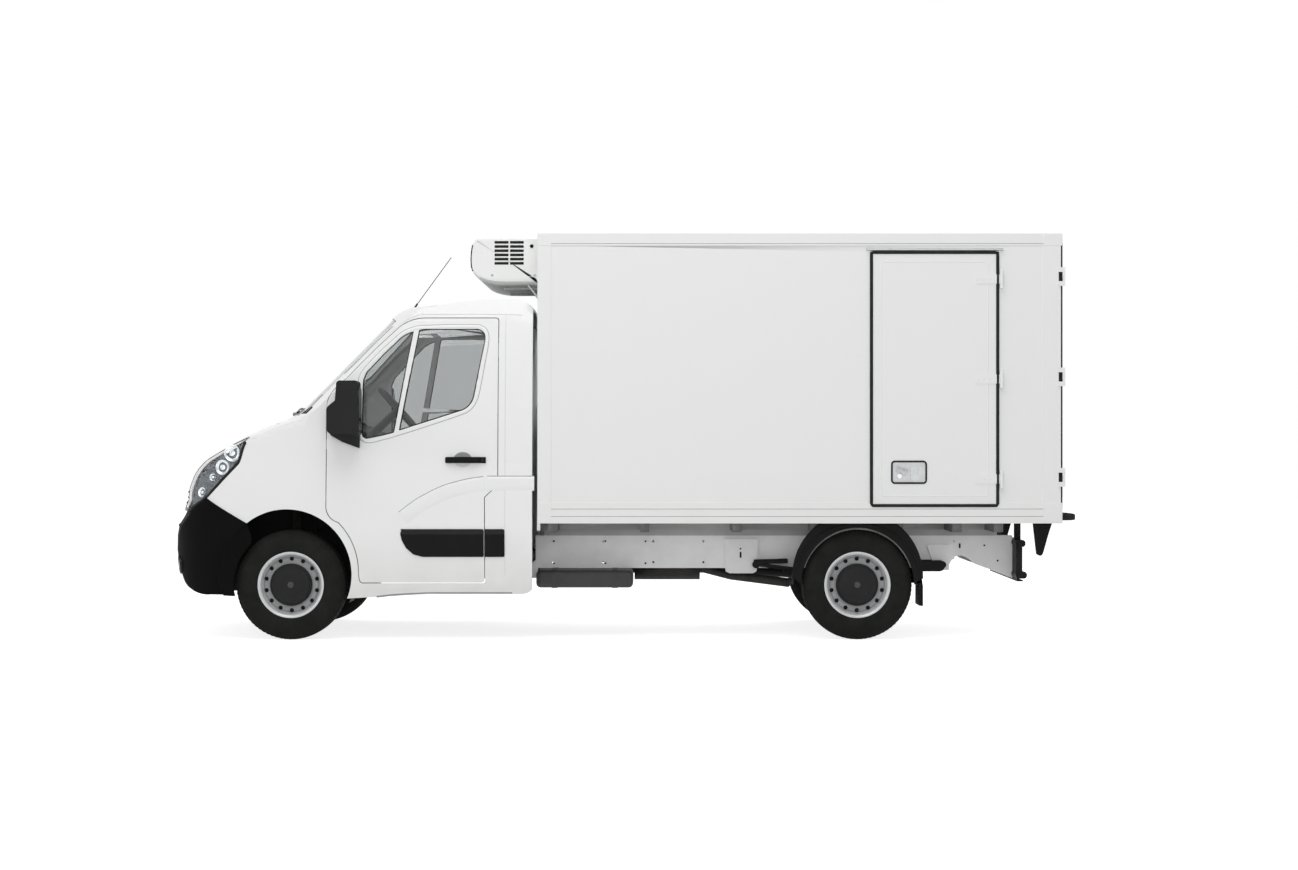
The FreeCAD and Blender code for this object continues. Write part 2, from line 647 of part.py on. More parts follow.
# ---------------------------------------------------------------------------------------------
# Cab envelope: a rounded nose turned about an upright axis, cut by side walls that lean in
# ---------------------------------------------------------------------------------------------
roof_z = mm.cab_roof_z
sill_z = mm.cab_sill_z
back_x = mm.cab_rear_x
nose_axis = Vector(mm.nose_pivot_x, 0, 0)


def side_profile(inset=0):
    """Cab outline on the centre plane, from the nose over the bonnet, windscreen and roof."""
    return outline("side", (back_x, sill_z - 30), (835, sill_z - 30), (821, 781), (804, 902),
                   (768, 1078, 649, 1185), (430, 1308, 130, 1432), (22, 1509), (-560, roof_z - 137),
                   (-620, roof_z - 85, -700, roof_z - 54), (-880, roof_z - 16, -1100, roof_z),
                   (-1400, roof_z), (-1530, roof_z - 30, back_x, roof_z - 110), grow=-inset)


def wall_section(inset, inner_y):
    """Half of the cab's cross section: sides that bulge at the waist and lean in above it."""
    half = mm.cab_half_width - inset
    return outline("front", (inner_y, sill_z - 60 + inset), (half - 50, sill_z - 60 + inset),
                   (half - 3, 700, half - 25, 1150), (half - 80, 1720, half - 205, roof_z + 60 - inset),
                   (inner_y, roof_z + 60 - inset))


SIDE_START_X, SIDE_RADIUS, SIDE_ANGLE, CORNER_RADIUS = -100, 4500, 7.5, 346


def half_envelope(inset):
    """The left side: straight to the door, bowed over the fender, and rounded at the nose's corner."""
    centre = Vector(SIDE_START_X, mm.cab_half_width - SIDE_RADIUS, 0)
    full = wall_section(inset, -1300)
    straight = prism(full, back_x, SIDE_START_X - back_x)
    bowed = full.copy()
    bowed.translate(OUT_X * SIDE_START_X)
    bowed = bowed.revolve(centre, OUT_Z, -SIDE_ANGLE)
    swing = math.radians(SIDE_ANGLE)
    reach = SIDE_RADIUS - CORNER_RADIUS
    corner_at = Vector(centre.x + reach * math.sin(swing), centre.y + reach * math.cos(swing), 0)
    corner = wall_section(inset, mm.cab_half_width - CORNER_RADIUS)
    corner.translate(OUT_X * SIDE_START_X)
    corner.rotate(centre, OUT_Z, -SIDE_ANGLE)
    corner = corner.revolve(corner_at, OUT_Z, -(90 - SIDE_ANGLE))
    core = brick((back_x, 1300), (-1300, corner_at.y), (sill_z - 60 + inset, roof_z + 60 - inset))
    return straight.multiFuse([bowed, corner, core])


def cab_envelope(inset=0):
    """The whole cab as one solid, moved inwards by an inset."""
    face = side_profile(inset)
    nose = turned(face, nose_axis, OUT_Z, 150, -75)
    left = half_envelope(inset)
    return nose.common(left).common(flip(left)).removeSplitter()


outer_cab = cab_envelope()
inner_cab = cab_envelope(mm.cab_skin)
rebate_cab = cab_envelope(12)
glass_out = cab_envelope(8)
glass_in = cab_envelope(8 + mm.glass_thickness)
skin = outer_cab.cut(inner_cab)

WIDE = 1.25 * mm.cab_half_width
DOOR = ((-238, 864), (-252, 815, -317, 767), (-400, 650, -447, 436), (-451, 395), (-462, 378, -480, 374),
        (-1240, 374), (-1256, 380, -1260, 395), (-1260, 929), (-1345, 1009), (-1345, 2070),
        (-1340, 2088, -1322, 2093), (-860, 2093), (-760, 2070, -692, 2027), (-557, 1905), (-447, 1793),
        (-356, 1694), (-262, 1600, -238, 1500))
QUARTER = ((-470, 1690), (-465, 1340), (-473, 1317, -500, 1308), (-600, 1328), (-672, 1347), (-794, 2007),
           (-740, 1987, -688, 1945), (-605, 1865), (-492, 1742))
DROP_GLASS = ((-707, 1361), (-1090, 1484), (-1158, 1521, -1191, 1587), (-1259, 1935), (-1249, 2003, -1200, 2024),
              (-856, 2023), (-828, 2016))


def side_prism(points, grow=0, inner=560):
    """A side-view outline as a prism through the left wall."""
    return prism(outline("side", *points, grow=grow), inner, WIDE - inner)


def front_prism(points, x_low, x_high):
    """A front-view outline as a prism."""
    return prism(outline("front", *points), x_low, x_high - x_low)


door_zone = side_prism(DOOR)
quarter_zone = side_prism(QUARTER)
drop_zone = side_prism(DROP_GLASS)
windows = quarter_zone.fuse(drop_zone)
SCREEN = ((-795, 1520), (-560, 1486, 0, 1478), (560, 1486, 795, 1520), (655, 2085), (380, 2112, 0, 2118),
          (-380, 2112, -655, 2085))
screen_zone = front_prism(SCREEN, -900, 200)

# plan outline of the bonnet and of everything outboard of it
BONNET = ((120, -790), (330, -790), (640, -520), (1300, -520), (1300, 520), (640, 520), (330, 790), (120, 790))
LAMP_SIDE = ((293, 1314), (332, 1181), (345, 1152), (466, 1038), (565, 933), (656, 868), (672, 842), (1300, 842),
             (1300, 1400))
BUMPER_SIDE = ((281, 760), (576, 925), (672, 842), (1300, 842), (1300, 0), (100, 0))
GRILLE_TOP_Z = 985
arch = drum((mm.arch_centre_x, 560, mm.arch_centre_z), mm.arch_radius, OUT_Y, 900)
bonnet_zone = prism(outline("plan", *BONNET), GRILLE_TOP_Z, 700)
bonnet_gap_zone = prism(outline("plan", *BONNET, grow=mm.panel_gap), GRILLE_TOP_Z - mm.panel_gap, 700)
bonnet_wide_zone = prism(outline("plan", *BONNET, grow=mm.rebate_gap), GRILLE_TOP_Z - mm.rebate_gap, 700)
bonnet_way = bonnet_gap_zone.fuse(bonnet_wide_zone.common(rebate_cab))
lamp_zone = side_prism(LAMP_SIDE, inner=300).cut(bonnet_gap_zone)
lamp_zone = lamp_zone.cut(brick((0, 1300), (-520, 520), (800, 1400)))
bumper_zone = side_prism(BUMPER_SIDE, inner=-WIDE)
grille_zone = brick((500, 1300), (-520, 520), (842, GRILLE_TOP_Z - mm.panel_gap))
fender_zone = brick((-233, 1300), (700, WIDE), (0, 1470))

# --- doors, their glass and the cab shell -------------------------------------------------------
door = skin.common(door_zone).cut(windows)
hinge_pads = [brick((-239, -233.0 - mm.running_fit), (985, 1000), (pad_z, pad_z + 60))
              for pad_z in (900, 1240)]
door = tidy(door.multiFuse(hinge_pads))
pane = glass_out.cut(glass_in)
glass = Part.makeCompound([pane.common(quarter_zone).Solids[0], pane.common(drop_zone).Solids[0]])


def mirror_head():
    """Door mirror: a tall rounded housing on a foot that sits in the corner of the door."""
    head = outline("side", (-470, 1345), (-461, 1650), (-454, 1674, -430, 1680), (-355, 1680),
                   (-332, 1674, -325, 1650), (-317, 1552), (-269, 1512), (-262, 1495), (-262, 1385),
                   (-272, 1350, -300, 1335), (-450, 1320))
    housing = prism(head, 1035, mm.mirror_tip_y - 1035)
    foot_face = outline("side", (-458, 1430), (-452, 1246), (-345, 1285), (-265, 1330), (-265, 1430))
    foot = prism(foot_face, 900, 145).cut(outer_cab)
    return tidy(housing.fuse(foot))


mirror = mirror_head()
for label, shape in (("cab_door_left", door), ("cab_door_right", flip(door)),
                     ("door_glass_left", glass), ("door_glass_right", flip(glass)),
                     ("mirror_left", mirror), ("mirror_right", flip(mirror))):
    free_form(label, shape)

inner_way = side_prism(DOOR, mm.rebate_gap).common(rebate_cab)
FIREWALL_X = -112
under = brick((back_x - 10, 1300), (-mm.cab_half_width + 55, mm.cab_half_width - 55), (0, 500))
floor = brick((back_x, FIREWALL_X), (-mm.cab_half_width + 56, mm.cab_half_width - 56), (500, mm.cab_floor_z))
firewall = brick((FIREWALL_X, FIREWALL_X + 40), (-mm.cab_half_width + 60, mm.cab_half_width - 60), (500, 1440))
firewall = firewall.common(outer_cab)
shell = skin.cut(under).multiFuse([floor.common(outer_cab), firewall])
liner_way = drum((mm.arch_centre_x, 690, mm.arch_centre_z), mm.liner_radius + mm.liner_wall + mm.running_fit,
                 OUT_Y, 250)
for tool in (side_prism(DOOR, mm.panel_gap), inner_way, arch, liner_way, fender_zone, lamp_zone):
    shell = shell.cut(tool).cut(flip(tool))
front_cut = [screen_zone, bonnet_way, bumper_zone, grille_zone]
for tool in front_cut:
    shell = shell.cut(tool)
free_form("cab_shell", tidy(shell))
free_form("windscreen", tidy(pane.common(screen_zone)))

# --- front end ------------------------------------------------------------------------------------
bonnet = skin.common(bonnet_zone)
bonnet_back = min(point[0] for point in BONNET)
bonnet_pads = [brick((bonnet_back - mm.panel_gap + mm.running_fit, bonnet_back + 12),
                     sorted((side * 560, side * 640)), (1375, 1408)) for side in (1, -1)]
bonnet = bonnet.multiFuse(bonnet_pads)
free_form("bonnet", tidy(bonnet))
fender = skin.common(fender_zone).cut(bonnet_way).cut(lamp_zone).cut(bumper_zone).cut(arch)
free_form("front_fenders", pair(tidy(fender)))
lamp = skin.common(lamp_zone).cut(bonnet_way).cut(bumper_zone)
free_form("headlamps", pair(tidy(lamp)))
free_form("grille", tidy(skin.common(grille_zone).cut(bonnet_way)))


def bumper():
    """The one-piece bumper that wraps round both corners and ends at the wheel arches."""
    steps = ((100, 268), (669, 277), (750, 290, 813, 366), (842, 460), (mm.front_overhang, 570), (853, 670),
             (842, 735), (809, 792), (790, 850), (700, 1000), (100, 1000))
    solid = turned(outline("side", *steps), nose_axis, OUT_Z, 150, -75)
    hollow = turned(outline("side", *steps, grow=-mm.cab_skin), nose_axis, OUT_Z, 150, -75)
    left, left_in = half_envelope(-6), half_envelope(mm.cab_skin)
    solid = solid.common(left).common(flip(left))
    hollow = hollow.common(left_in).common(flip(left_in))
    wrap = solid.cut(hollow).common(bumper_zone).cut(arch).cut(flip(arch)).cut(liner_way).cut(flip(liner_way))
    wrap = wrap.cut(brick((0, 700), (-850, 850), (200, 330)))
    return tidy(wrap)


free_form("bumper", bumper())


def arch_liner():
    """A half drum over the front wheel, under the fender, with a leg down behind the wheel."""
    centre_x, centre_z, inner = mm.arch_centre_x, mm.arch_centre_z, mm.liner_radius
    outer = inner + mm.liner_wall
    face = outline("side", (centre_x - outer, 330), (centre_x - outer, centre_z),
                   (centre_x, centre_z + outer, centre_x + outer, centre_z), (centre_x + inner, centre_z),
                   (centre_x, centre_z + inner, centre_x - inner, centre_z), (centre_x - inner, 330))
    return prism(face, 700, 230)


liner = arch_liner()
free_form("arch_liners", pair(tidy(liner)))

# --- cab interior -------------------------------------------------------------------------------------
def dashboard():
    """Dashboard across the cab with its cowl, pedals' kick panel and steering column."""
    face = outline("side", (FIREWALL_X, 1200), (FIREWALL_X, 1425), (-190, 1440, -300, 1405), (-500, 1320),
                   (-540, 1250), (-490, 1120), (-350, 1000), (-290, 760), (FIREWALL_X, 700))
    body = prism(face, -850, 1700).common(cab_envelope(mm.cab_skin + 14)).cut(liner_way).cut(flip(liner_way))
    lean = Vector(-0.74, 0, 0.67)
    wheel_at = Vector(-650, 400, 1500)
    column = Part.makeCylinder(28, 330, wheel_at - lean * 330, lean)
    ring = Part.makeTorus(185, 15, wheel_at, lean)
    spoke = Part.makeBox(40, 370, 16, Vector(-20, -185, -8))
    spoke.rotate(Vector(), OUT_Y, -math.degrees(math.atan2(0.74, 0.67)))
    spoke.translate(wheel_at)
    return tidy(body.multiFuse([column, ring, spoke]))


def seat(width):
    """One seat: cushion on its base, backrest and headrest in side view."""
    base = brick((-1290, -840), (-width / 2 + 40, width / 2 - 40), (mm.cab_floor_z, 800))
    cushion = prism(outline("side", (-1310, 800), (-1310, 930), (-1200, 915), (-800, 945), (-780, 860),
                            (-800, 800)),
                    -width / 2, width)
    back = prism(outline("side", (-1310, 930), (-1455, 1560), (-1340, 1580), (-1185, 930)), -width / 2, width)
    rest = prism(outline("side", (-1440, 1555), (-1475, 1770), (-1385, 1785), (-1350, 1565)), -130, 260)
    return base.multiFuse([cushion, back, rest]).removeSplitter()


free_form("dashboard", dashboard())
driver, passenger = seat(500), seat(880)
driver.translate(Vector(0, 400, 0))
passenger.translate(Vector(0, -370, 0))
free_form("seats", Part.makeCompound([tidy(driver), tidy(passenger)]))

# ---------------------------------------------------------------------------------------------
# Insulated box, its doors and the refrigeration unit
# ---------------------------------------------------------------------------------------------
box_back = "(box_front_x - box_length)"
box_low = "(rail_top_z + subframe_depth)"
sheet_half = "(box_width / 2 - rail_proud)"
body_solid = block("box_solid", (box_back, f"-{sheet_half}", box_low),
                   ("box_length", f"2 * {sheet_half}", "box_height"))
RAILS = (  # name, x from the rear, length, lower edge above the floor line, height
    ("lower_rail", "0", "box_length", "0", "box_bottom_rail"),
    ("upper_rail", "0", "box_length", "box_height - box_top_rail", "box_top_rail"),
    ("rear_post", "0", "box_rear_post", "0", "box_height"),
    ("front_post", "box_length - box_front_post", "box_front_post", "0", "box_height"))
edges = [block(name, (f"{box_back} + {start}", "-box_width / 2", f"{box_low} + {low}"),
               (length, "box_width", height))
         for name, start, length, low, height in RAILS]
load_space = block("load_space", (f"{box_back} - 1", "-box_width / 2 + box_wall", f"{box_low} + box_floor"),
                   ("box_length - box_wall + 1", "box_width - 2 * box_wall", "box_height - box_floor - box_wall"))
side_way = block("side_way",
                 ("side_door_front_x - side_door_width - door_gap", "0", "side_door_bottom_z - door_gap"),
                 ("side_door_width + 2 * door_gap", "box_width", "side_door_height + 2 * door_gap"))


def knuckles(name, pin_x, pin_y, mid_z):
    """The two fixed knuckles of a hinge, above and below the leaf's own."""
    reach = "(30 + running_fit)"
    return [rod(f"{name}_low", (pin_x, pin_y, f"{mid_z} - {reach} - 30"), "hinge_radius", "30"),
            rod(f"{name}_high", (pin_x, pin_y, f"{mid_z} + {reach}"), "hinge_radius", "30")]


REAR_HINGES = (0.12, 0.5, 0.88)  # share of the door's height
SIDE_HINGES = (0.1, 0.5, 0.9)
rear_pin_x = f"({box_back} - hinge_out)"
rear_pin_y = "(box_width / 2 + hinge_side)"
rear_low = f"({box_low} + box_floor + door_gap)"
rear_height = "(box_height - box_floor - box_wall - 2 * door_gap)"
side_pin_x = "(side_door_front_x - side_door_width - hinge_reach)"
side_pin_y = "(box_width / 2 + hinge_out)"
fixed_hinges = []
for index, share in enumerate(REAR_HINGES):
    level = f"({rear_low} + {share} * {rear_height})"
    for side, sign in (("left", "1"), ("right", "-1")):
        name = f"rear_hinge_{side}_{index}"
        fixed_hinges += knuckles(name, rear_pin_x, f"{sign} * {rear_pin_y}", level)
        for end, offset in (("low", "-60 - running_fit"), ("high", "30 + running_fit")):
            inner = "box_width / 2" if side == "left" else "-box_width / 2 - hinge_side"
            fixed_hinges.append(block(f"{name}_{end}_lug", (rear_pin_x, inner, f"{level} + {offset}"),
                                      ("hinge_out + 30", "hinge_side", "30")))
for index, share in enumerate(SIDE_HINGES):
    level = f"(side_door_bottom_z + {share} * side_door_height)"
    fixed_hinges += knuckles(f"side_hinge_{index}", side_pin_x, side_pin_y, level)
    for end, offset in (("low", "-60 - running_fit"), ("high", "30 + running_fit")):
        fixed_hinges.append(block(f"side_hinge_{index}_{end}_lug",
                                  (f"{side_pin_x} - 8", "box_width / 2 - rail_proud", f"{level} + {offset}"),
                                  ("16", "hinge_out + rail_proud", "30")))
box_shell = cut("box_hollow", fuse("box_framed", [body_solid] + edges),
                fuse("box_ways", [load_space, side_way]))
sub_part(fuse("box_hinged", [box_shell] + fixed_hinges), "box_body")


def leaf(name, low, size, straps, pins):
    """A thick insulated door leaf with its hinge straps and knuckles."""
    pieces = [block(f"{name}_leaf", low, size)]
    for index, (corner, extent) in enumerate(straps):
        pieces.append(block(f"{name}_strap_{index}", corner, extent))
    for index, (pin_x, pin_y, level) in enumerate(pins):
        pieces.append(rod(f"{name}_knuckle_{index}", (pin_x, pin_y, f"{level} - 30"), "hinge_radius", "60"))
    return fuse(f"{name}_joined", pieces)


strap = "6"
leaf_width = "(box_width / 2 - box_wall - 1.5 * door_gap)"
for side, sign in (("left", 1), ("right", -1)):
    inner_y = "door_gap / 2" if sign > 0 else f"-door_gap / 2 - {leaf_width}"
    straps, pins = [], []
    for share in REAR_HINGES:
        level = f"({rear_low} + {share} * {rear_height})"
        strap_y = "box_width / 2 - box_wall - 120" if sign > 0 else f"-{rear_pin_y}"
        straps.append(((f"{box_back} - {strap} - running_fit", strap_y, f"{level} - 30"),
                       (strap, f"{rear_pin_y} - box_width / 2 + box_wall + 120", "60")))
        straps.append(((f"{box_back} - 8 - hinge_out / 2",
                        f"{rear_pin_y} - 11" if sign > 0 else f"-{rear_pin_y}", f"{level} - 30"),
                       ("12", "11", "60")))
        straps.append(((f"{box_back} - running_fit - 1", "box_width / 2 - box_wall - 120" if sign > 0 else
                        f"-box_width / 2 + box_wall + 40", f"{level} - 30"), ("3", "80", "60")))
        pins.append((rear_pin_x, f"{sign} * {rear_pin_y}", level))
    sub_part(leaf(f"rear_{side}", (box_back, inner_y, rear_low), ("box_wall", leaf_width, rear_height),
                  straps, pins),
             f"rear_door_{side}")

straps, pins = [], []
for share in SIDE_HINGES:
    level = f"(side_door_bottom_z + {share} * side_door_height)"
    straps.append(((side_pin_x, "box_width / 2 + running_fit", f"{level} - 30"),
                   ("hinge_reach + 130", strap, "60")))
    straps.append(((side_pin_x, "box_width / 2 + running_fit", f"{level} - 30"),
                   ("11", "hinge_out / 2 + 2", "60")))
    straps.append(((f"{side_pin_x} + hinge_reach + 20", "box_width / 2 - 3", f"{level} - 30"), ("90", "5", "60")))
    pins.append((side_pin_x, side_pin_y, level))
side_leaf = leaf("side",
                 ("side_door_front_x - side_door_width", "box_width / 2 - box_wall", "side_door_bottom_z"),
                 ("side_door_width", "box_wall", "side_door_height"), straps, pins)
sub_part(side_leaf, "side_door")


def cooler():
    """Refrigeration unit on the box's nose: rounded cover, carried by the front wall."""
    wall_x = mm.box_front_x
    front_x = wall_x + mm.cooler_reach
    top_z = box_floor_z + mm.box_height - mm.cooler_drop
    low_z = top_z - mm.cooler_height
    face = outline("side", (wall_x, low_z), (front_x - 240, low_z),
                   (front_x - 85, low_z + 42, front_x - 17, low_z + 124), (front_x, low_z + 220),
                   (front_x, top_z - 86), (front_x - 23, top_z - 20),
                   (front_x - 30, top_z - 6, front_x - 50, top_z), (wall_x, top_z))
    return tidy(prism(face, -mm.cooler_width / 2, mm.cooler_width))


free_form("refrigeration_unit", cooler())


def mudguard():
    """A thin guard bent over the rear wheel, with its flap hanging behind and its stays to the bearers."""
    top, low, reach, wall = box_floor_z - 7, mm.tyre_radius, 422, 8
    face = outline("side", (rear_x + reach, low), (rear_x, top, rear_x - reach, low), (rear_x - reach, 220),
                   (rear_x - reach + wall, 220), (rear_x - reach + wall, low),
                   (rear_x, top - wall, rear_x + reach - wall, low))
    guard = prism(face, mm.rear_track / 2 - mm.tyre_width / 2 - 5, mm.tyre_width + 10)
    stays = [brick((bearer_x - 12, bearer_x + 12), (850, 890), (640, box_floor_z - 60))
             for bearer_x in (-3420, -3950)]
    hollow = prism(outline("side", (rear_x + reach - 1, low), (rear_x, top - 1, rear_x - reach + 1, low)), 700, 400)
    return guard.multiFuse([stay.cut(hollow) for stay in stays])


free_form("rear_mudguards", pair(tidy(mudguard())))

# ---------------------------------------------------------------------------------------------
# Check and write
# ---------------------------------------------------------------------------------------------
doc.recompute()
for piece in doc.Objects:
    if "Invalid" in piece.State or "Error" in piece.State:
        raise RuntimeError(f"{piece.Name} did not compute: {piece.State}")
os.makedirs("parts", exist_ok=True)
for piece in sub_parts:
    shape = piece.Shape
    if shape.isNull() or not shape.isValid() or not shape.Solids:
        raise RuntimeError(f"{piece.Label} has no valid solid")
    shape.exportStep(f"parts/{piece.Label}.step")
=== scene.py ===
"""Refrigerated truck: paint, plastics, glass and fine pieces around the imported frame.

Metres, +X forward, +Y to the vehicle's left, +Z up, origin on the ground under the middle of the truck.
Each sub-assembly is a class; its sizes are fields, its places come from the frame's own nodes.
"""
from __future__ import annotations

import json
import logging
import math
from collections.abc import Callable
from dataclasses import dataclass, field
from enum import Enum

import bmesh
import bpy
import numpy as np
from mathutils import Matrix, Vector
from mathutils.bvhtree import BVHTree

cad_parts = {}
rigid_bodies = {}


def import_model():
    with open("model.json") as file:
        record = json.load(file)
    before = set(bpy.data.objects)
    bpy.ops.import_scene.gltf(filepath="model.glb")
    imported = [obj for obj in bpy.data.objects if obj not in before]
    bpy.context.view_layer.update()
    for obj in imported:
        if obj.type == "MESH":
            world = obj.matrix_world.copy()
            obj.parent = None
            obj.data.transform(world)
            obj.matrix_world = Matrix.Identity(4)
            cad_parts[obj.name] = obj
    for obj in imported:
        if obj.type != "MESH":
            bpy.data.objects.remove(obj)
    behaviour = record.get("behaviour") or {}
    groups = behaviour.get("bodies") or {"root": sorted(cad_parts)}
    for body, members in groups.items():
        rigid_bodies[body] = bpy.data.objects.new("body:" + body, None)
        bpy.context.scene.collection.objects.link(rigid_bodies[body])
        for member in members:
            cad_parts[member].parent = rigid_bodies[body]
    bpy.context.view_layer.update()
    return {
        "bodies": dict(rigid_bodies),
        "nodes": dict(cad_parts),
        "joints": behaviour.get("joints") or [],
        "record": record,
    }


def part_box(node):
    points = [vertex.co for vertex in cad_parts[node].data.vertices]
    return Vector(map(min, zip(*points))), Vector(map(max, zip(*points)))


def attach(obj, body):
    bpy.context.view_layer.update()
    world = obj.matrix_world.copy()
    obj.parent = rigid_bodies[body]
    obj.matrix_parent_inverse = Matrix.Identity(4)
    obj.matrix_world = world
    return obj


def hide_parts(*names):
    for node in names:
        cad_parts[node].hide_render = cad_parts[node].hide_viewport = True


LOG = logging.getLogger("truck")
Array = np.ndarray
Thing = bpy.types.Object
Node, Tree, Socket = bpy.types.Node, bpy.types.NodeTree, bpy.types.NodeSocket
Triple = tuple[float, float, float]
MM = 0.001
SIDES = {"left": 1.0, "right": -1.0}


class Axis(Enum):
  """The row axes that a profile is turned about or pushed along."""

  X = 0
  Y = 1
  Z = 2

  def unit(self) -> Array:
    """The axis as a unit vector."""
    return np.eye(3)[self.value]


# ---- Materials ----
def linear(hex_colour: str) -> tuple[float, float, float, float]:
  """Turn an sRGB hex colour into linear red, green, blue and an alpha of one.

  Args:
    hex_colour: Six hex digits with a leading '#'.

  Returns:
    The linear colour.
  """
  values = [int(hex_colour[place:place + 2], 16) / 255 for place in (1, 3, 5)]
  parts = [value / 12.92 if value <= 0.04045 else ((value + 0.055) / 1.055) ** 2.4 for value in values]
  return (*parts, 1.0)


def add_node(tree: Tree, kind: str, settings: dict | None = None, inputs: dict | None = None) -> Node:
  """Add a node with its settings, its input values and the links that come into it.

  Args:
    tree: The node tree.
    kind: The node's type name.
    settings: Attributes to set.
    inputs: Input name or number to a value or to an output socket.

  Returns:
    The new node.
  """
  node = tree.nodes.new(kind)
  for name, value in (settings or {}).items():
    setattr(node, name, value)
  for name, value in (inputs or {}).items():
    if isinstance(value, Socket):
      tree.links.new(value, node.inputs[name])
    else:
      node.inputs[name].default_value = value
  return node


def set_ramp(node: Node, stops: list[tuple[float, str]]) -> None:
  """Give a colour ramp its stops, each a place and an sRGB hex colour."""
  ramp = node.color_ramp
  while len(ramp.elements) < len(stops):
    ramp.elements.new(0.5)
  for element, (place, colour) in zip(ramp.elements, stops):
    element.position = place
    element.color = linear(colour)


@dataclass(frozen=True)
class Finish:
  """One finish of a record's slot: its colour and gloss, a mottle (colour, size) and a grain (size, depth) in mm."""

  name: str
  slot: str
  colour: str
  roughness: float = 0.5
  mottle: tuple[str, float] | None = None
  grain: tuple[float, float] | None = None
  metallic: float = 0.0
  coat: float = 0.0
  specular: float = 0.5

  def material(self) -> bpy.types.Material:
    """The finish as a material, made once."""
    kept = bpy.data.materials.get(self.name)
    if kept:
      return kept
    material = bpy.data.materials.new(self.name)
    material.use_nodes = True
    tree = material.node_tree
    shader = tree.nodes["Principled BSDF"]
    material.diffuse_color = linear(self.colour)
    for name, value in (("Base Color", linear(self.colour)), ("Roughness", self.roughness),
        ("Metallic", self.metallic), ("Coat Weight", self.coat), ("Coat Roughness", 0.06),
        ("Specular IOR Level", self.specular)):
      shader.inputs[name].default_value = value
    place = add_node(tree, "ShaderNodeTexCoord").outputs["Object"]
    self.dress(tree, shader, place)
    return material

  def dress(self, tree: Tree, shader: Node, place: Socket) -> None:
    """Add the colour variation and the grain that the finish shows."""
    if self.mottle:
      cloud = add_node(tree, "ShaderNodeTexNoise", inputs={"Vector": place, "Scale": 1000 / self.mottle[1],
          "Detail": 4.0, "Roughness": 0.6})
      ramp = add_node(tree, "ShaderNodeValToRGB", inputs={"Fac": cloud.outputs["Fac"]})
      set_ramp(ramp, [(0.35, self.colour), (0.7, self.mottle[0])])
      tree.links.new(ramp.outputs["Color"], shader.inputs["Base Color"])
    if self.grain:
      grain = add_node(tree, "ShaderNodeTexNoise", inputs={"Vector": place, "Scale": 1000 / self.grain[0],
          "Detail": 2.0})
      bump = add_node(tree, "ShaderNodeBump", inputs={"Height": grain.outputs["Fac"], "Distance": self.grain[1] * MM,
          "Strength": 1.0})
      tree.links.new(bump.outputs["Normal"], shader.inputs["Normal"])


@dataclass(frozen=True)
class BottomGreyPaint(Finish):
  """Gloss coach paint whose colour turns a little greyer towards the bottom, in soft cloudy patches."""

  bottom_grey: str = "#c9c8c4"
  bottom_grey_top_m: float = 0.75

  def dress(self, tree: Tree, shader: Node, place: Socket) -> None:
    """Blend a greyer colour in towards the bottom, broken up by a soft cloud, and add a faint orange peel."""
    height = add_node(tree, "ShaderNodeSeparateXYZ", inputs={"Vector": place}).outputs["Z"]
    low = add_node(tree, "ShaderNodeMapRange", inputs={"Value": height, "From Min": 0.25, "From Max": self.bottom_grey_top_m,
        "To Min": 0.55, "To Max": 0.0})
    cloud = add_node(tree, "ShaderNodeTexNoise", inputs={"Vector": place, "Scale": 5.0, "Detail": 5.0})
    share = add_node(tree, "ShaderNodeMath", {"operation": "MULTIPLY"},
        {0: low.outputs["Result"], 1: cloud.outputs["Fac"]})
    mix = add_node(tree, "ShaderNodeMix", {"data_type": "RGBA"}, {"Factor": share.outputs[0]})
    mix.inputs[6].default_value = linear(self.colour)
    mix.inputs[7].default_value = linear(self.bottom_grey)
    tree.links.new(mix.outputs[2], shader.inputs["Base Color"])
    peel = add_node(tree, "ShaderNodeTexNoise", inputs={"Vector": place, "Scale": 1000 / 9.0, "Detail": 1.0})
    bump = add_node(tree, "ShaderNodeBump", inputs={"Height": peel.outputs["Fac"], "Distance": 0.00004,
        "Strength": 0.5})
    tree.links.new(bump.outputs["Normal"], shader.inputs["Normal"])


@dataclass(frozen=True)
class ClearGlass(Finish):
  """Flat or moulded glass: light goes through, with a faint tint."""

  index: float = 1.5

  def dress(self, tree: Tree, shader: Node, place: Socket) -> None:
    """Let light through and add the slight unevenness of rolled glass."""
    shader.inputs["Transmission Weight"].default_value = 1.0
    shader.inputs["IOR"].default_value = self.index
    wave = add_node(tree, "ShaderNodeTexNoise", inputs={"Vector": place, "Scale": 3.0, "Detail": 1.0})
    bump = add_node(tree, "ShaderNodeBump", inputs={"Height": wave.outputs["Fac"], "Distance": 0.0004,
        "Strength": 0.3})
    tree.links.new(bump.outputs["Normal"], shader.inputs["Normal"])


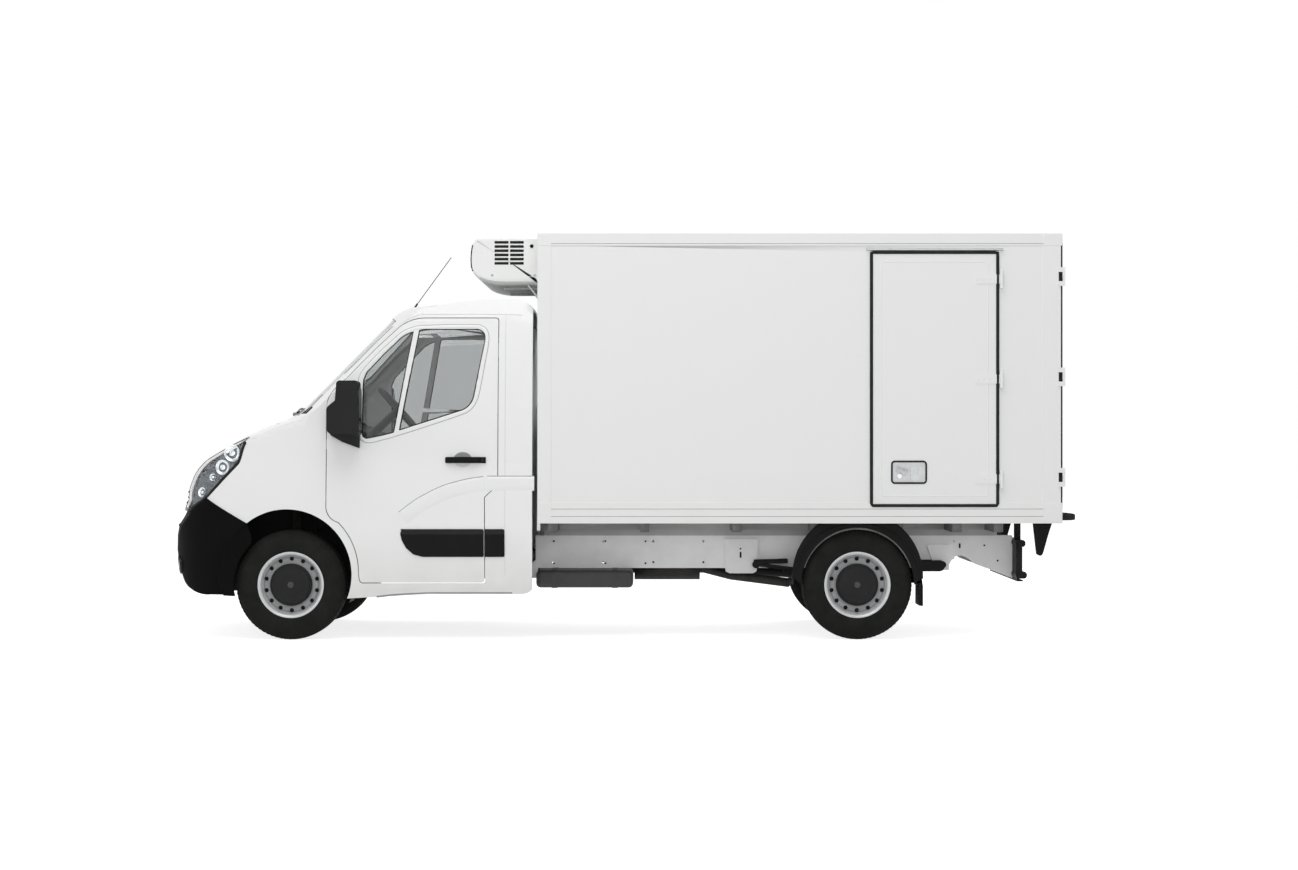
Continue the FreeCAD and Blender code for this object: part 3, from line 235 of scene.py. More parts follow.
@dataclass(frozen=True)
class WovenCloth(Finish):
  """Seat cloth: two sets of threads that cross, drawn coarser than real so that they show."""

  thread_mm: float = 3.0

  def dress(self, tree: Tree, shader: Node, place: Socket) -> None:
    """Cross two wave patterns for the weave, with a soft sheen."""
    shader.inputs["Sheen Weight"].default_value = 0.3
    heights = []
    for direction in ("Y", "Z"):
      wave = add_node(tree, "ShaderNodeTexWave", {"bands_direction": direction},
          {"Vector": place, "Scale": 1000 / self.thread_mm / 20, "Distortion": 0.6})
      heights.append(wave.outputs["Fac"])
    weave = add_node(tree, "ShaderNodeMath", {"operation": "MULTIPLY"}, {0: heights[0], 1: heights[1]})
    ramp = add_node(tree, "ShaderNodeValToRGB", inputs={"Fac": weave.outputs[0]})
    set_ramp(ramp, [(0.1, self.colour), (0.9, self.mottle[0])])
    tree.links.new(ramp.outputs["Color"], shader.inputs["Base Color"])
    bump = add_node(tree, "ShaderNodeBump", inputs={"Height": weave.outputs[0], "Distance": 0.0006, "Strength": 0.6})
    tree.links.new(bump.outputs["Normal"], shader.inputs["Normal"])


# Coach enamel over primed steel: bright, hard gloss.
WHITE = BottomGreyPaint("white_coach_enamel", "white_paint", "#f1f2f1", 0.32, coat=0.6)
# Gel-coated panel skins of the insulated body: a softer gloss than the cab.
GELCOAT = BottomGreyPaint("white_gelcoat", "white_paint", "#eff0ef", 0.42, coat=0.25, bottom_grey="#d6d5d1", bottom_grey_top_m=1.1)
# Moulded cover of the cooling unit.
MOULDED_WHITE = Finish("white_moulded_cover", "white_paint", "#f2f3f2", 0.45, ("#edeeec", 500), (4, 0.03))
# Coarse grained polypropylene, left black: dull, with a fine leather grain.
BLACK_PLASTIC = Finish("black_grained_polypropylene", "black_plastic", "#0f0f10", 0.6, ("#141415", 260), (2.6, 0.12),
    specular=0.12)
# Painted highlight: a pale grey arc on the rear guard's inner lip, standing for the light on the tyre's shoulder.
TYRE_SHOULDER_HIGHLIGHT = Finish("dusty_guard_lip", "black_plastic", "#777674", 0.8, ("#5f5e5c", 60), specular=0.15)
# The same plastic a little paler: the mirror housings and wheel caps in their own tone, and a painted highlight on
# the mouldings' upper facet.
PALE_PLASTIC_AND_HIGHLIGHT = Finish("sun_faded_polypropylene", "black_plastic", "#1b1b1c", 0.6, ("#202021", 260), (2.6, 0.12),
    specular=0.2)
# The bumper's deeper black, fresh from shade.
DEEP_PLASTIC = Finish("deep_black_polypropylene", "black_plastic", "#0a0a0b", 0.65, ("#0e0e0f", 260), (2.6, 0.12),
    specular=0.05)
# Wiper arms: satin powder coat, dulled by sun.
WIPER_GREY = Finish("grey_powder_coated_steel", "black_plastic", "#77787a", 0.5, ("#6c6d6f", 80))
GLOSS_BLACK = Finish("black_moulded_abs", "black_plastic", "#0c0c0d", 0.32, ("#101011", 200), (5, 0.02),
    specular=0.25)
# Carbon-filled tyre rubber: nearly black, greyer where it flexes.
TYRE_RUBBER = Finish("tyre_rubber", "tyre", "#191918", 0.8, ("#232322", 120), (3, 0.1), specular=0.12)
SEAL_RUBBER = Finish("extruded_seal_rubber", "rubber", "#1d1e1f", 0.65, ("#282929", 90), (4, 0.05), specular=0.15)
# Two-pack chassis paint over galvanised steel.
FRAME_GREY = Finish("grey_chassis_paint", "frame_paint", "#f4f4f4", 0.5, ("#ebebeb", 160), (6, 0.06))
# The same paint on the bearers under the box, greyed as painted shade from the box above, and nearly black at their
# open ends as more painted shade.
BEARER_SHADE_GREY = Finish("dulled_chassis_paint", "frame_paint", "#b6b6b6", 0.6, ("#acacac", 160), (6, 0.06), specular=0.3)
BEARER_END_SHADE = Finish("bitumen_coated_bearer_ends", "frame_paint", "#777777", 0.7, ("#7f7f7f", 90), (5, 0.1),
    specular=0.2)
# Sprayed underseal on the cab's underside and firewall: matt black with a soft pebble grain. The same black on the
# dashboard's foot is painted shade.
UNDERSEAL_AND_SHADE = Finish("sprayed_underseal", "white_paint", "#18181a", 0.85, ("#202022", 120), (7, 0.4), specular=0.12)
DARK_STEEL = Finish("black_dip_coated_steel", "dark_steel", "#161617", 0.55, ("#201f21", 90), (5, 0.15), metallic=0.2,
    specular=0.15)
CAST_DARK = Finish("cast_iron_housing", "dark_steel", "#222120", 0.7, ("#2e2b28", 60), (4, 0.3), metallic=0.4,
    specular=0.15)
ZINC = Finish("zinc_plated_steel", "rim_steel", "#b9bbbc", 0.35, ("#a4a6a8", 30), (3, 0.03), metallic=0.9)
EXHAUST = Finish("aluminised_exhaust_steel", "exhaust_steel", "#3b3a39", 0.6, ("#2f2e2c", 70), (6, 0.08),
    metallic=0.6, specular=0.2)
# Silver enamel, bright on the flange; on the dished disc between the holes it is greyed as painted shade.
WHEEL_PAINT = Finish("silver_wheel_enamel", "rim_steel", "#d6d7d8", 0.38, ("#cdcecf", 120), (8, 0.03), metallic=0.3,
    coat=0.3)
WHEEL_DISH_SHADE = Finish("dusty_wheel_enamel", "rim_steel", "#9b9c9d", 0.5, ("#919293", 90), (8, 0.03), metallic=0.25)
# Painted shade: white enamel greyed where it lies in the handle's dish and along the cab's corner seam.
SHADED_WHITE = Finish("white_enamel_in_a_dish", "white_paint", "#d6d7d7", 0.4, ("#dfe0e0", 60), coat=0.4)
# Painted shade: a mid grey for the upper half of the handle's dish and for the sill's turned-under foot.
SHADED_GREY = Finish("grey_handle_pan", "white_paint", "#8c8d8e", 0.5, ("#979899", 40))
# Painted shade: a greyer white on the cover's downward faces, where they turn away from the light.
UNDERSIDE_SHADE_WHITE = Finish("weathered_moulded_cover", "white_paint", "#cfd0d0", 0.55, ("#c6c7c7", 200))
# Grey rubber lips along the screen and its pillars, bleached by sun.
LIP_GREY = Finish("grey_edge_rubber", "rubber", "#7d7f80", 0.6, ("#74767a", 120))
# Rotomoulded polyethylene: a lighter, waxier black than the grained trim.
TANK_PLASTIC = Finish("black_rotomoulded_polyethylene", "black_plastic", "#363637", 0.5, ("#3d3d3e", 160), (5, 0.1),
    specular=0.35)
# The cap's middle boss, a lighter grey than the cap.
CAP_BOSS_GREY = Finish("rubbed_cap_plastic", "dark_steel", "#4a4a4b", 0.5, ("#3a3a3b", 12), specular=0.3)
CHROME = Finish("vacuum_metallised_reflector", "rim_steel", "#eef0f1", 0.30, ("#dcdfe2", 40), metallic=1.0)
LAMP_HOUSING = Finish("grey_lamp_housing", "lamp_glass", "#6d6f72", 0.4, ("#626467", 60), (5, 0.05), metallic=0.2)
MIRROR_GLASS = Finish("silvered_mirror_glass", "glass", "#d7dcdf", 0.03, ("#cfd5d8", 90), metallic=1.0)
GLASS = ClearGlass("tinted_window_glass", "glass", "#cdcfcf", 0.0)
# Laminated screen: two panes with a film, so more tint, and more again where it is seen edge-on.
SCREEN_GLASS = ClearGlass("laminated_screen_glass", "glass", "#d0d4d4", 0.0, index=1.12)
# Shaded bottom of a narrow pressed groove between painted panels.
SEAM_GREY = Finish("shaded_panel_groove", "white_paint", "#a9aaaa", 0.7, ("#9c9d9d", 60), specular=0.2)
LENS = ClearGlass("clear_polycarbonate_lens", "lamp_glass", "#f4f6f7", 0.02, index=1.15)
RED_LENS = ClearGlass("red_acrylic_lens", "lamp_glass", "#c5161b", 0.12, index=1.45)
AMBER_LENS = ClearGlass("amber_acrylic_lens", "lamp_glass", "#e8820c", 0.12, index=1.45)
DASH = Finish("grained_dashboard_plastic", "dark_plastic", "#3b3c3e", 0.6, ("#434447", 150), (3, 0.1))
CABIN_TRIM = Finish("light_cabin_lining", "white_paint", "#d2d3d1", 0.8, ("#c8c9c7", 90), (4, 0.1))
HEADLINER = Finish("grey_felt_headliner", "dark_plastic", "#8b8c8e", 0.9, ("#838486", 80), (3, 0.15))
SEAT_CLOTH = WovenCloth("woven_seat_cloth", "seat_cloth", "#232427", 0.85, ("#3b3d42", 3))
STAINLESS = Finish("brushed_stainless_steel", "rim_steel", "#c9cbcc", 0.3, ("#b7babc", 15), (2, 0.02), metallic=1.0)
ALU = Finish("satin_anodised_aluminium", "rim_steel", "#c4c6c7", 0.38, ("#b8babb", 50), (3, 0.02), metallic=0.9)


# ---- Meshes ----
def around(steps: int) -> Array:
  """Even angles once round a circle."""
  return np.linspace(0, 2 * np.pi, steps, endpoint=False)


def circle(turn: Array) -> Array:
  """Points of the unit circle: the cosine and the sine of each angle."""
  return np.stack([np.cos(turn), np.sin(turn)], -1)


class Surface:
  """Vertices and faces gathered for one piece, as whole arrays."""

  def __init__(self) -> None:
    """Start empty."""
    self.points: list[Array] = []
    self.faces: list[list[int]] = []
    self.count = 0

  def add(self, points: Array, faces: list[list[int]] | Array) -> "Surface":
    """Add points (n, 3) and faces that count from the first of them."""
    base = self.count
    self.points.append(np.asarray(points, float).reshape(-1, 3))
    if isinstance(faces, np.ndarray):
      self.faces += (faces + base).tolist()
    else:
      self.faces += [[corner + base for corner in face] for face in faces]
    self.count += len(self.points[-1])
    return self

  def grid(self, points: Array, wrap_rows: bool = False, wrap_columns: bool = False, caps: bool = False) -> "Surface":
    """Add a grid of points as quads.

    Each quad joins a point to its neighbours along both parameters.

    Args:
      points: Rows by columns by 3.
      wrap_rows: Join the last row to the first.
      wrap_columns: Join the last column to the first.
      caps: Close the first and last rows with one face each.

    Returns:
      This surface.
    """
    rows, columns = points.shape[:2]
    index = np.arange(rows * columns).reshape(rows, columns)
    upper = np.roll(index, -1, 0) if wrap_rows else index[1:]
    lower = index if wrap_rows else index[:-1]
    if wrap_columns:
      quads = np.stack([lower, np.roll(lower, -1, 1), np.roll(upper, -1, 1), upper], -1)
    else:
      quads = np.stack([lower[:, :-1], lower[:, 1:], upper[:, 1:], upper[:, :-1]], -1)
    faces = quads.reshape(-1, 4)
    self.add(points, faces)
    if caps:
      base = self.count - rows * columns
      self.faces.append((index[0][::-1] + base).tolist())
      self.faces.append((index[-1] + base).tolist())
    return self

  def block(self, low: Triple, high: Triple) -> "Surface":
    """Add a block between two corners."""
    low_a, high_a = np.minimum(low, high), np.maximum(low, high)
    pick = np.array([[x, y, z] for z in (0, 1) for y in (0, 1) for x in (0, 1)])
    corners = low_a + pick * (high_a - low_a)
    faces = [[0, 2, 3, 1], [4, 5, 7, 6], [0, 1, 5, 4], [2, 6, 7, 3], [0, 4, 6, 2], [1, 3, 7, 5]]
    return self.add(corners, faces)

  def lathe(self, profile: list[tuple[float, float]], centre: Triple, axis: Axis, segments: int = 64,
      closed: bool = False) -> "Surface":
    """Turn a profile about an axis through a centre.

    A point is at the centre, plus its height along the axis, plus its radius round it.

    Args:
      profile: Radius and height pairs, in order.
      centre: Where the axis passes at height zero.
      axis: The axis to turn about.
      segments: Steps round the axis.
      closed: Join the profile's last point to its first.

    Returns:
      This surface.
    """
    radius, height = np.array(profile, float).T
    turn = around(segments)
    first, second = axis.unit()[[2, 0, 1]], axis.unit()[[1, 2, 0]]
    ring = np.cos(turn)[:, None] * first + np.sin(turn)[:, None] * second
    points = (np.asarray(centre) + height[:, None, None] * axis.unit() + radius[:, None, None] * ring[None])
    self.grid(points, wrap_rows=closed, wrap_columns=True)
    if not closed:
      base = self.count - len(profile) * segments
      if radius[0] > 1e-6:
        self.faces.append(list(range(base, base + segments))[::-1])
      if radius[-1] > 1e-6:
        self.faces.append(list(range(self.count - segments, self.count)))
    return self

  def prism(self, outline: Array, low: float, high: float, axis: Axis) -> "Surface":
    """Push a flat outline of two columns along an axis; the columns are the other two axes in order."""
    flat = np.asarray(outline, float)
    others = [number for number in range(3) if number != axis.value]
    layers = np.zeros((2, len(flat), 3))
    layers[:, :, others] = flat[None]
    layers[0, :, axis.value], layers[1, :, axis.value] = low, high
    return self.grid(layers, wrap_columns=True, caps=True)

  def sweep(self, path: Array, section: Array, outward: Array | Triple, closed: bool = False) -> "Surface":
    """Carry a section along a path.

    A section's first column goes sideways, along the tangent crossed with the outward
    direction, and its second goes outward.

    Args:
      path: Points (n, 3).
      section: Closed outline (m, 2).
      outward: One direction, or one for each point.
      closed: The path closes on itself.

    Returns:
      This surface.
    """
    path = np.asarray(path, float)
    if closed:
      tangent = np.roll(path, -1, 0) - np.roll(path, 1, 0)
    else:
      tangent = np.gradient(path, axis=0)
    tangent /= np.linalg.norm(tangent, axis=1)[:, None]
    out = np.broadcast_to(np.asarray(outward, float), path.shape)
    sideways = np.cross(tangent, out)
    sideways /= np.linalg.norm(sideways, axis=1)[:, None]
    out = np.cross(sideways, tangent)
    section = np.asarray(section, float)
    points = (path[:, None] + section[None, :, :1] * sideways[:, None] + section[None, :, 1:] * out[:, None])
    return self.grid(points, wrap_rows=closed, wrap_columns=True, caps=not closed)

  def bar(self, start: Triple, end: Triple, radius: float, segments: int = 16) -> "Surface":
    """Add a round bar between two points."""
    start_a, end_a = np.asarray(start, float), np.asarray(end, float)
    side = np.array([0.0, 0.0, 1.0]) if abs((end_a - start_a)[2]) < 0.9 * np.linalg.norm(end_a
        - start_a) else np.array([1.0, 0.0, 0.0])
    turn = around(segments)
    ring = radius * circle(turn)
    return self.sweep(np.stack([start_a, end_a]), ring, side)

  def bolt(self, at: Triple, axis: Axis, sign: float, across: float = 0.016, tall: float = 0.008) -> "Surface":
    """Add a hexagon bolt head on a washer."""
    low, high = sorted((0.0, sign * tall))
    washer_low, washer_high = sorted((0.0, sign * tall * 0.25))
    self.lathe([(across * 0.85, washer_low), (across * 0.85, washer_high)], at, axis, 16)
    return self.lathe([(across * 0.58, low), (across * 0.58, high)], at, axis, 6)

  def piece(self, name: str, finish: Finish, body: str = "root", slot: str = "", bevel: float = 0.0,
      smooth: float = 40.0, replaces: tuple[str, ...] = ()) -> Thing:
    """Make the mesh object, dress it and let it ride on its body.

    Args:
      name: The piece's name.
      finish: Its finish.
      body: The body it rides on.
      slot: The record's material slot, where it isn't the finish's own; not used.
      bevel: Width of the rounding on sharp edges, zero for none.
      smooth: Edges sharper than this many degrees stay sharp.
      replaces: Nodes that it stands for.

    Returns:
      The finished object.
    """
    mesh = bpy.data.meshes.new(name)
    mesh.from_pydata(np.concatenate(self.points).tolist(), [], self.faces)
    mesh.validate()
    return dress_mesh(mesh, name, finish, body, bevel, smooth, replaces, turn_out=True)


def dress_mesh(mesh: bpy.types.Mesh, name: str, finish: Finish, body: str = "root",
    bevel: float = 0.0, smooth: float = 40.0, replaces: tuple[str, ...] = (), turn_out: bool = False) -> Thing:
  """Link a mesh as a piece: merge doubles, face outwards, round edges, dress and ride."""
  work = bmesh.new()
  work.from_mesh(mesh)
  bmesh.ops.remove_doubles(work, verts=work.verts, dist=1e-6)
  if turn_out:
    bmesh.ops.recalc_face_normals(work, faces=work.faces)
  work.to_mesh(mesh)
  work.free()
  thing = new_object(name, mesh)
  mesh.materials.clear()
  mesh.materials.append(finish.material())
  if bevel:
    modify(thing, "rounding", "BEVEL", width=bevel, segments=2, limit_method="ANGLE", angle_limit=math.radians(35))
  mesh.shade_smooth()
  mesh.set_sharp_from_angle(angle=math.radians(smooth))
  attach(thing, body)
  if replaces:
    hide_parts(*replaces)
  LOG.info("%s on %s: %d faces", name, body, len(mesh.polygons))
  return thing


def lay_strip(path: Array, section: Array, outward: Array | Triple, name: str, finish: Finish, body: str = "root",
    closed: bool = False, slot: str = "") -> Thing:
  """Carry one section along one path and make it a piece, as Surface.sweep and Surface.piece say."""
  return Surface().sweep(path, section, outward, closed).piece(name, finish, body, slot, smooth=50)


def new_object(name: str, data: bpy.types.ID) -> Thing:
  """A new object in the scene."""
  thing = bpy.data.objects.new(name, data)
  bpy.context.scene.collection.objects.link(thing)
  return thing


def modify(thing: Thing, name: str, kind: str, **settings: float | str | bool) -> bpy.types.Modifier:
  """Add a modifier with its settings."""
  modifier = thing.modifiers.new(name, kind)
  for setting, value in settings.items():
    setattr(modifier, setting, value)
  return modifier


def read(items: bpy.types.bpy_prop_collection, name: str) -> Array:
  """One attribute of a mesh's vertices or faces, as rows of three."""
  flat = np.empty(len(items) * 3)
  items.foreach_get(name, flat)
  return flat.reshape(-1, 3)


def recast(node: str, finish: Finish, body: str = "root", smooth: float = 30.0) -> Thing:
  """A merged, smoothly shaded copy of a frame node, which stands for it."""
  mesh = bpy.data.objects[node].data.copy()
  name = mesh.name = f"{node}_skin"
  return dress_mesh(mesh, name, finish, body, smooth=smooth, replaces=(node,))


def two_tone(thing: Thing, finish: Finish, pick: Callable[[Array, Array], Array]) -> None:
  """Give some faces of a piece a further finish.

  Args:
    thing: The piece.
    finish: The further finish.
    pick: Tells from the faces' middles and normals which faces take it.
  """
  mesh = thing.data
  mesh.materials.append(finish.material())
  index = np.array([polygon.material_index for polygon in mesh.polygons])
  index[pick(read(mesh.polygons, "center"), read(mesh.polygons, "normal"))] = len(mesh.materials) - 1
  mesh.polygons.foreach_set("material_index", index)


def split_at(thing: Thing, place: Triple, normal: Triple) -> None:
  """Cut a piece's faces along a plane, so that each side can have its own finish."""
  work = bmesh.new()
  work.from_mesh(thing.data)
  whole = [*work.verts, *work.edges, *work.faces]
  bmesh.ops.bisect_plane(work, geom=whole, plane_co=place, plane_no=normal, dist=1e-5)
  work.to_mesh(thing.data)
  work.free()


# ---- Places on the frame ----
def spot(node: str, pick: tuple[int, int, int], offset_mm: Triple = (0, 0, 0)) -> Array:
  """A place set off from a node's box.

  Args:
    node: The frame node.
    pick: For each axis, -1 for the low end, 0 for the middle and 1 for the high end.
    offset_mm: What is added to it, in millimetres.

  Returns:
    The place in metres.
  """
  low, high = (np.array(corner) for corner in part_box(node))
  return low + (np.array(pick) + 1) / 2 * (high - low) + np.array(offset_mm) * MM


def rounded(width: float, height: float, radius: float, steps: int = 5) -> Array:
  """A rectangle round its own middle with rounded corners, as a closed outline."""
  turn = np.linspace(0, np.pi / 2, steps)
  corner = radius * circle(turn)
  parts = []
  for number, (side, up) in enumerate(((1, 1), (-1, 1), (-1, -1), (1, -1))):
    cos, sin = math.cos(number * math.pi / 2), math.sin(number * math.pi / 2)
    turned = corner @ np.array([[cos, sin], [-sin, cos]])
    parts.append(turned + [side * (width / 2 - radius), up * (height / 2 - radius)])
  return np.concatenate(parts)


def bead(width: float, proud: float, sunk: float = 0.002) -> Array:
  """The section of a strip that stands proud with a rounded top and is sunk a little into what carries it."""
  turn = np.linspace(0, np.pi, 9)
  top = np.stack([width / 2 * np.cos(turn), proud * np.sin(turn) ** 0.6], -1)
  return np.concatenate([top, [[-width / 2, -sunk], [width / 2, -sunk]]])


class Skin:
  """The outer surface of some frame nodes, onto which fine pieces are laid."""

  def __init__(self, *nodes: str) -> None:
    """Gather the nodes' triangles into one search tree."""
    points, faces = [], []
    for node in nodes:
      mesh = bpy.data.objects[node].data
      base = len(points)
      points += [vertex.co.copy() for vertex in mesh.vertices]
      faces += [[corner + base for corner in polygon.vertices] for polygon in mesh.polygons]
    self.tree = BVHTree.FromPolygons(points, faces)

  def lay(self, points: Array, towards: Triple) -> tuple[Array, Array]:
    """Drop points onto the skin along a direction.

    Args:
      points: Any shape ending in 3, outside the skin.
      towards: The direction of the drop.

    Returns:
      The places met and the unit normals there that face the drop. A point that misses takes
      the depth and the normal of the nearest point along the list that does not.
    """
    flat = np.asarray(points, float).reshape(-1, 3)
    heading = Vector(towards).normalized()
    places, normals = np.empty_like(flat), np.empty_like(flat)
    met = np.zeros(len(flat), bool)
    for number, point in enumerate(flat):
      place, normal, _, _ = self.tree.ray_cast(Vector(point), heading)
      met[number] = place is not None
      if met[number]:
        places[number] = place
        normals[number] = -normal if normal.dot(heading) > 0 else normal
    hits = np.nonzero(met)[0]
    if not len(hits):
      raise ValueError("the skin lies nowhere along the drop")
    lost = np.nonzero(~met)[0]
    near = hits[np.abs(lost[:, None] - hits[None]).argmin(1)]
    ahead = np.array(heading)
    places[lost] = flat[lost] + ahead * ((places[near] - flat[lost]) @ ahead)[:, None]
    normals[lost] = normals[near]
    shape = np.asarray(points).shape
    return places.reshape(shape), normals.reshape(shape)

  def from_side(self, path_mm: Array | list, side: float) -> tuple[Array, Array]:
    """Lay side-view points, in millimetres from the front axle, on the left (1) or the right (-1) of the skin."""
    return self.lay(from_axle(np.insert(np.asarray(path_mm, float), 1, 1300.0 * side, axis=-1)), (0, -side, 0))


def edge_loops(node: str, facing: Triple, share: float = 0.5) -> list[tuple[Array, Array]]:
  """The closed edges of a node's faces that look one way.

  Args:
    node: The frame node.
    facing: The direction.
    share: How far a face has to look that way, as a cosine.

  Returns:
    For each loop its points, spread evenly, and the unit normals of the faces inside it.
  """
  mesh = bpy.data.objects[node].data
  points = read(mesh.vertices, "co")
  keys, index = np.unique(np.round(points, 5), axis=0, return_inverse=True)
  faces = index.reshape(-1)[np.array([polygon.vertices[:] for polygon in mesh.polygons])]
  normals = read(mesh.polygons, "normal")
  keep = normals @ (np.array(facing) / np.linalg.norm(facing)) > share
  faces, normals = faces[keep], normals[keep]
  edges = np.concatenate([faces[:, [0, 1]], faces[:, [1, 2]], faces[:, [2, 0]]])
  owner = np.tile(np.arange(len(faces)), 3)
  ordered = np.sort(edges, 1)
  _, first, counts = np.unique(ordered, axis=0, return_index=True, return_counts=True)
  alone = first[counts == 1]
  follow = {int(edges[edge, 0]): (int(edges[edge, 1]), int(owner[edge])) for edge in alone}
  loops = []
  while follow:
    here = start = next(iter(follow))
    chain, sides = [], []
    while here in follow:
      after, face = follow.pop(here)
      chain.append(here)
      sides.append(face)
      here = after
    if here == start and len(chain) > 8:
      loops.append(even(keys[chain], normals[sides]))
  return sorted(loops, key=lambda loop: -np.ptp(loop[0], axis=0).sum())


def carry(path: Array, values: Array, step: float, least: int = 0) -> Array:
  """Values given at the points of a closed path, read off at even steps along it."""
  closed, given = np.concatenate([path, path[:1]]), np.concatenate([values, values[:1]])
  run = np.concatenate([[0], np.cumsum(np.linalg.norm(np.diff(closed, axis=0), axis=1))])
  places = np.linspace(0, run[-1], max(int(run[-1] / step), least), endpoint=False)
  return np.stack([np.interp(places, run, column) for column in given.T], -1)


def even(path: Array, along: Array, step: float = 0.012) -> tuple[Array, Array]:
  """Spread a closed path's points evenly and carry unit vectors along with them."""
  units = carry(path, along, step, 16)
  return carry(path, path, step, 16), units / np.linalg.norm(units, axis=1)[:, None]


def dress_node(finish: Finish, *nodes: str) -> None:
  """Give frame nodes a finish without touching their shape."""
  for node in nodes:
    thing = bpy.data.objects[node]
    if not thing.material_slots:
      thing.data.materials.append(None)
    for slot in thing.material_slots:
      slot.material = finish.material()


# ---- Wheels ----
@dataclass
class Wheel:
  """One road wheel: a treaded tyre, the pressed rim with its ring of holes, and a black domed cap."""

  label: str
  side: float
  segments: int = 432
  grooves_mm: tuple[float, ...] = (-58, -20, 20, 58)
  groove_width_mm: float = 7.0
  groove_depth_mm: float = 7.0
  blocks: int = 72
  cap_radius_mm: float = 135.0
  boss_radius_mm: float = 26.0

  @property
  def body(self) -> str:
    """The body that the wheel's pieces ride on."""
    return f"wheel_{self.label}"

  def section(self) -> Array:
    """The tyre's outer section as radius and side, from the inner bead over the tread to the outer bead.

    Half a section: the bead, a bulging side with three raised rings, the shoulder, and half the
    tread; the other half mirrors it.
    """
    low, high = (np.array(corner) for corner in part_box(f"tyre_{self.label}"))
    radius, half = (high[2] - low[2]) / 2, (high[1] - low[1]) / 2
    side_radius = np.linspace(0.2175, radius - 0.010, 26)
    share = (side_radius - side_radius[0]) / np.ptp(side_radius)
    bulge = half - 0.0015 - 0.022 * np.abs(2 * share - 0.9) ** 2.6
    for place, tall, wide in ((0.10, 0.0022, 0.03), (0.42, 0.0012, 0.02), (0.80, 0.0015, 0.025)):
      bulge += tall * np.exp(-((share - place) / wide) ** 2)
    bulge = np.minimum(bulge, half)
    shoulder = np.array([[radius - 0.0048, half - 0.031], [radius - 0.0024, half - 0.040]])
    flat = np.linspace(half - 0.048, 0.0, 16)
    tread = np.stack([radius - 0.002 * (flat / half) ** 2, flat], -1)
    outer = np.concatenate([[[0.2045, half - 0.034]], np.stack([side_radius, bulge], -1), shoulder, tread])
    inner = outer[::-1][1:] * [1, -1]
    return np.concatenate([outer, inner])

  def tyre(self) -> Thing:
    """The tyre: its section turned round the axle, with the tread's grooves and sipes pressed in.

    Depth is a smooth step of the distance to the nearest groove's middle, plus slanted cuts
    between the blocks whose angle goes with the distance from the tread's middle.
    """
    section = self.section()
    centre = spot(f"tyre_{self.label}", (0, 0, 0))
    turn = around(self.segments)[:, None]
    radius, side = section[None, :, 0], section[None, :, 1]
    tread = (radius > centre[2] - 0.0135).astype(float)
    apart = np.min(np.abs(side[..., None] / MM - np.array(self.grooves_mm)), axis=-1)
    round_cut = np.clip(1.4 - apart / (self.groove_width_mm / 2), 0, 1)
    phase = (turn / (2 * np.pi) * self.blocks + np.abs(side) * 14 + 0.5 * (side > 0)) % 1.0
    edge = np.abs(side) > 0.058
    sipe = np.where(edge, phase < 0.26, phase < 0.17) * (np.abs(side) > 0.022)
    depth = np.maximum(round_cut, sipe * 0.8) * self.groove_depth_mm * MM * tread
    reach = radius - depth
    points = np.stack([centre[0] + reach * np.cos(turn), centre[1] + np.broadcast_to(side, reach.shape),
        centre[2] + reach * np.sin(turn)], -1)
    surface = Surface().grid(points, wrap_rows=True, wrap_columns=True)
    return surface.piece(f"tyre_{self.label}_treaded", TYRE_RUBBER, self.body, smooth=32,
        replaces=(f"tyre_{self.label}",))

  def build(self) -> None:
    """Make the wheel's pieces."""
    self.tyre()
    rim = recast(f"rim_{self.label}", WHEEL_PAINT, self.body, smooth=28)
    face = spot(f"rim_{self.label}", (0, int(self.side), 0))
    # Painted shade: the dished disc inside the flange is a darker grey.
    two_tone(rim, WHEEL_DISH_SHADE, lambda centres, normals: np.linalg.norm((centres - face)[:, [0, 2]], axis=1) < 0.183)
    reach, boss = self.cap_radius_mm * MM, self.boss_radius_mm * MM
    out = [1, self.side * MM]
    dome = np.array([(0.0, -10), (reach - 0.016, -10), (reach + 0.002, -42), (reach + 0.0025, -30),
        (reach - 0.004, -24), (reach - 0.012, -18.5), (reach * 0.72, -10), (reach * 0.5, -2.6), (reach * 0.3, -0.4),
        (boss + 0.002, 0.9), (boss, 2.6), (boss - 0.004, 3.2), (0.0, 3.4)]) * out
    Surface().lathe(dome, face, Axis.Y, 96).piece(f"wheel_cap_{self.label}", PALE_PLASTIC_AND_HIGHLIGHT, self.body, smooth=50)
    ring = np.array([(boss - 0.006, 3.2), (boss - 0.007, 4.0), (0.004, 4.2), (0.0, 4.2)]) * out
    Surface().lathe(ring, face, Axis.Y, 48).piece(f"wheel_cap_boss_{self.label}", CAP_BOSS_GREY, self.body)
    shade = np.array([(0.140, -74), (0.182, -74), (0.182, -78), (0.140, -78)]) * out
    Surface().lathe(shade, face, Axis.Y, 64, closed=True).piece(f"brake_shield_{self.label}", CAST_DARK, self.body)
    valve = face + [0.0, -self.side * 0.045, -(reach + 0.034)]
    Surface().bar(valve, valve + [0, self.side * 0.032, 0.006], 0.0035, 12).piece(f"valve_{self.label}", SEAL_RUBBER,
        self.body)


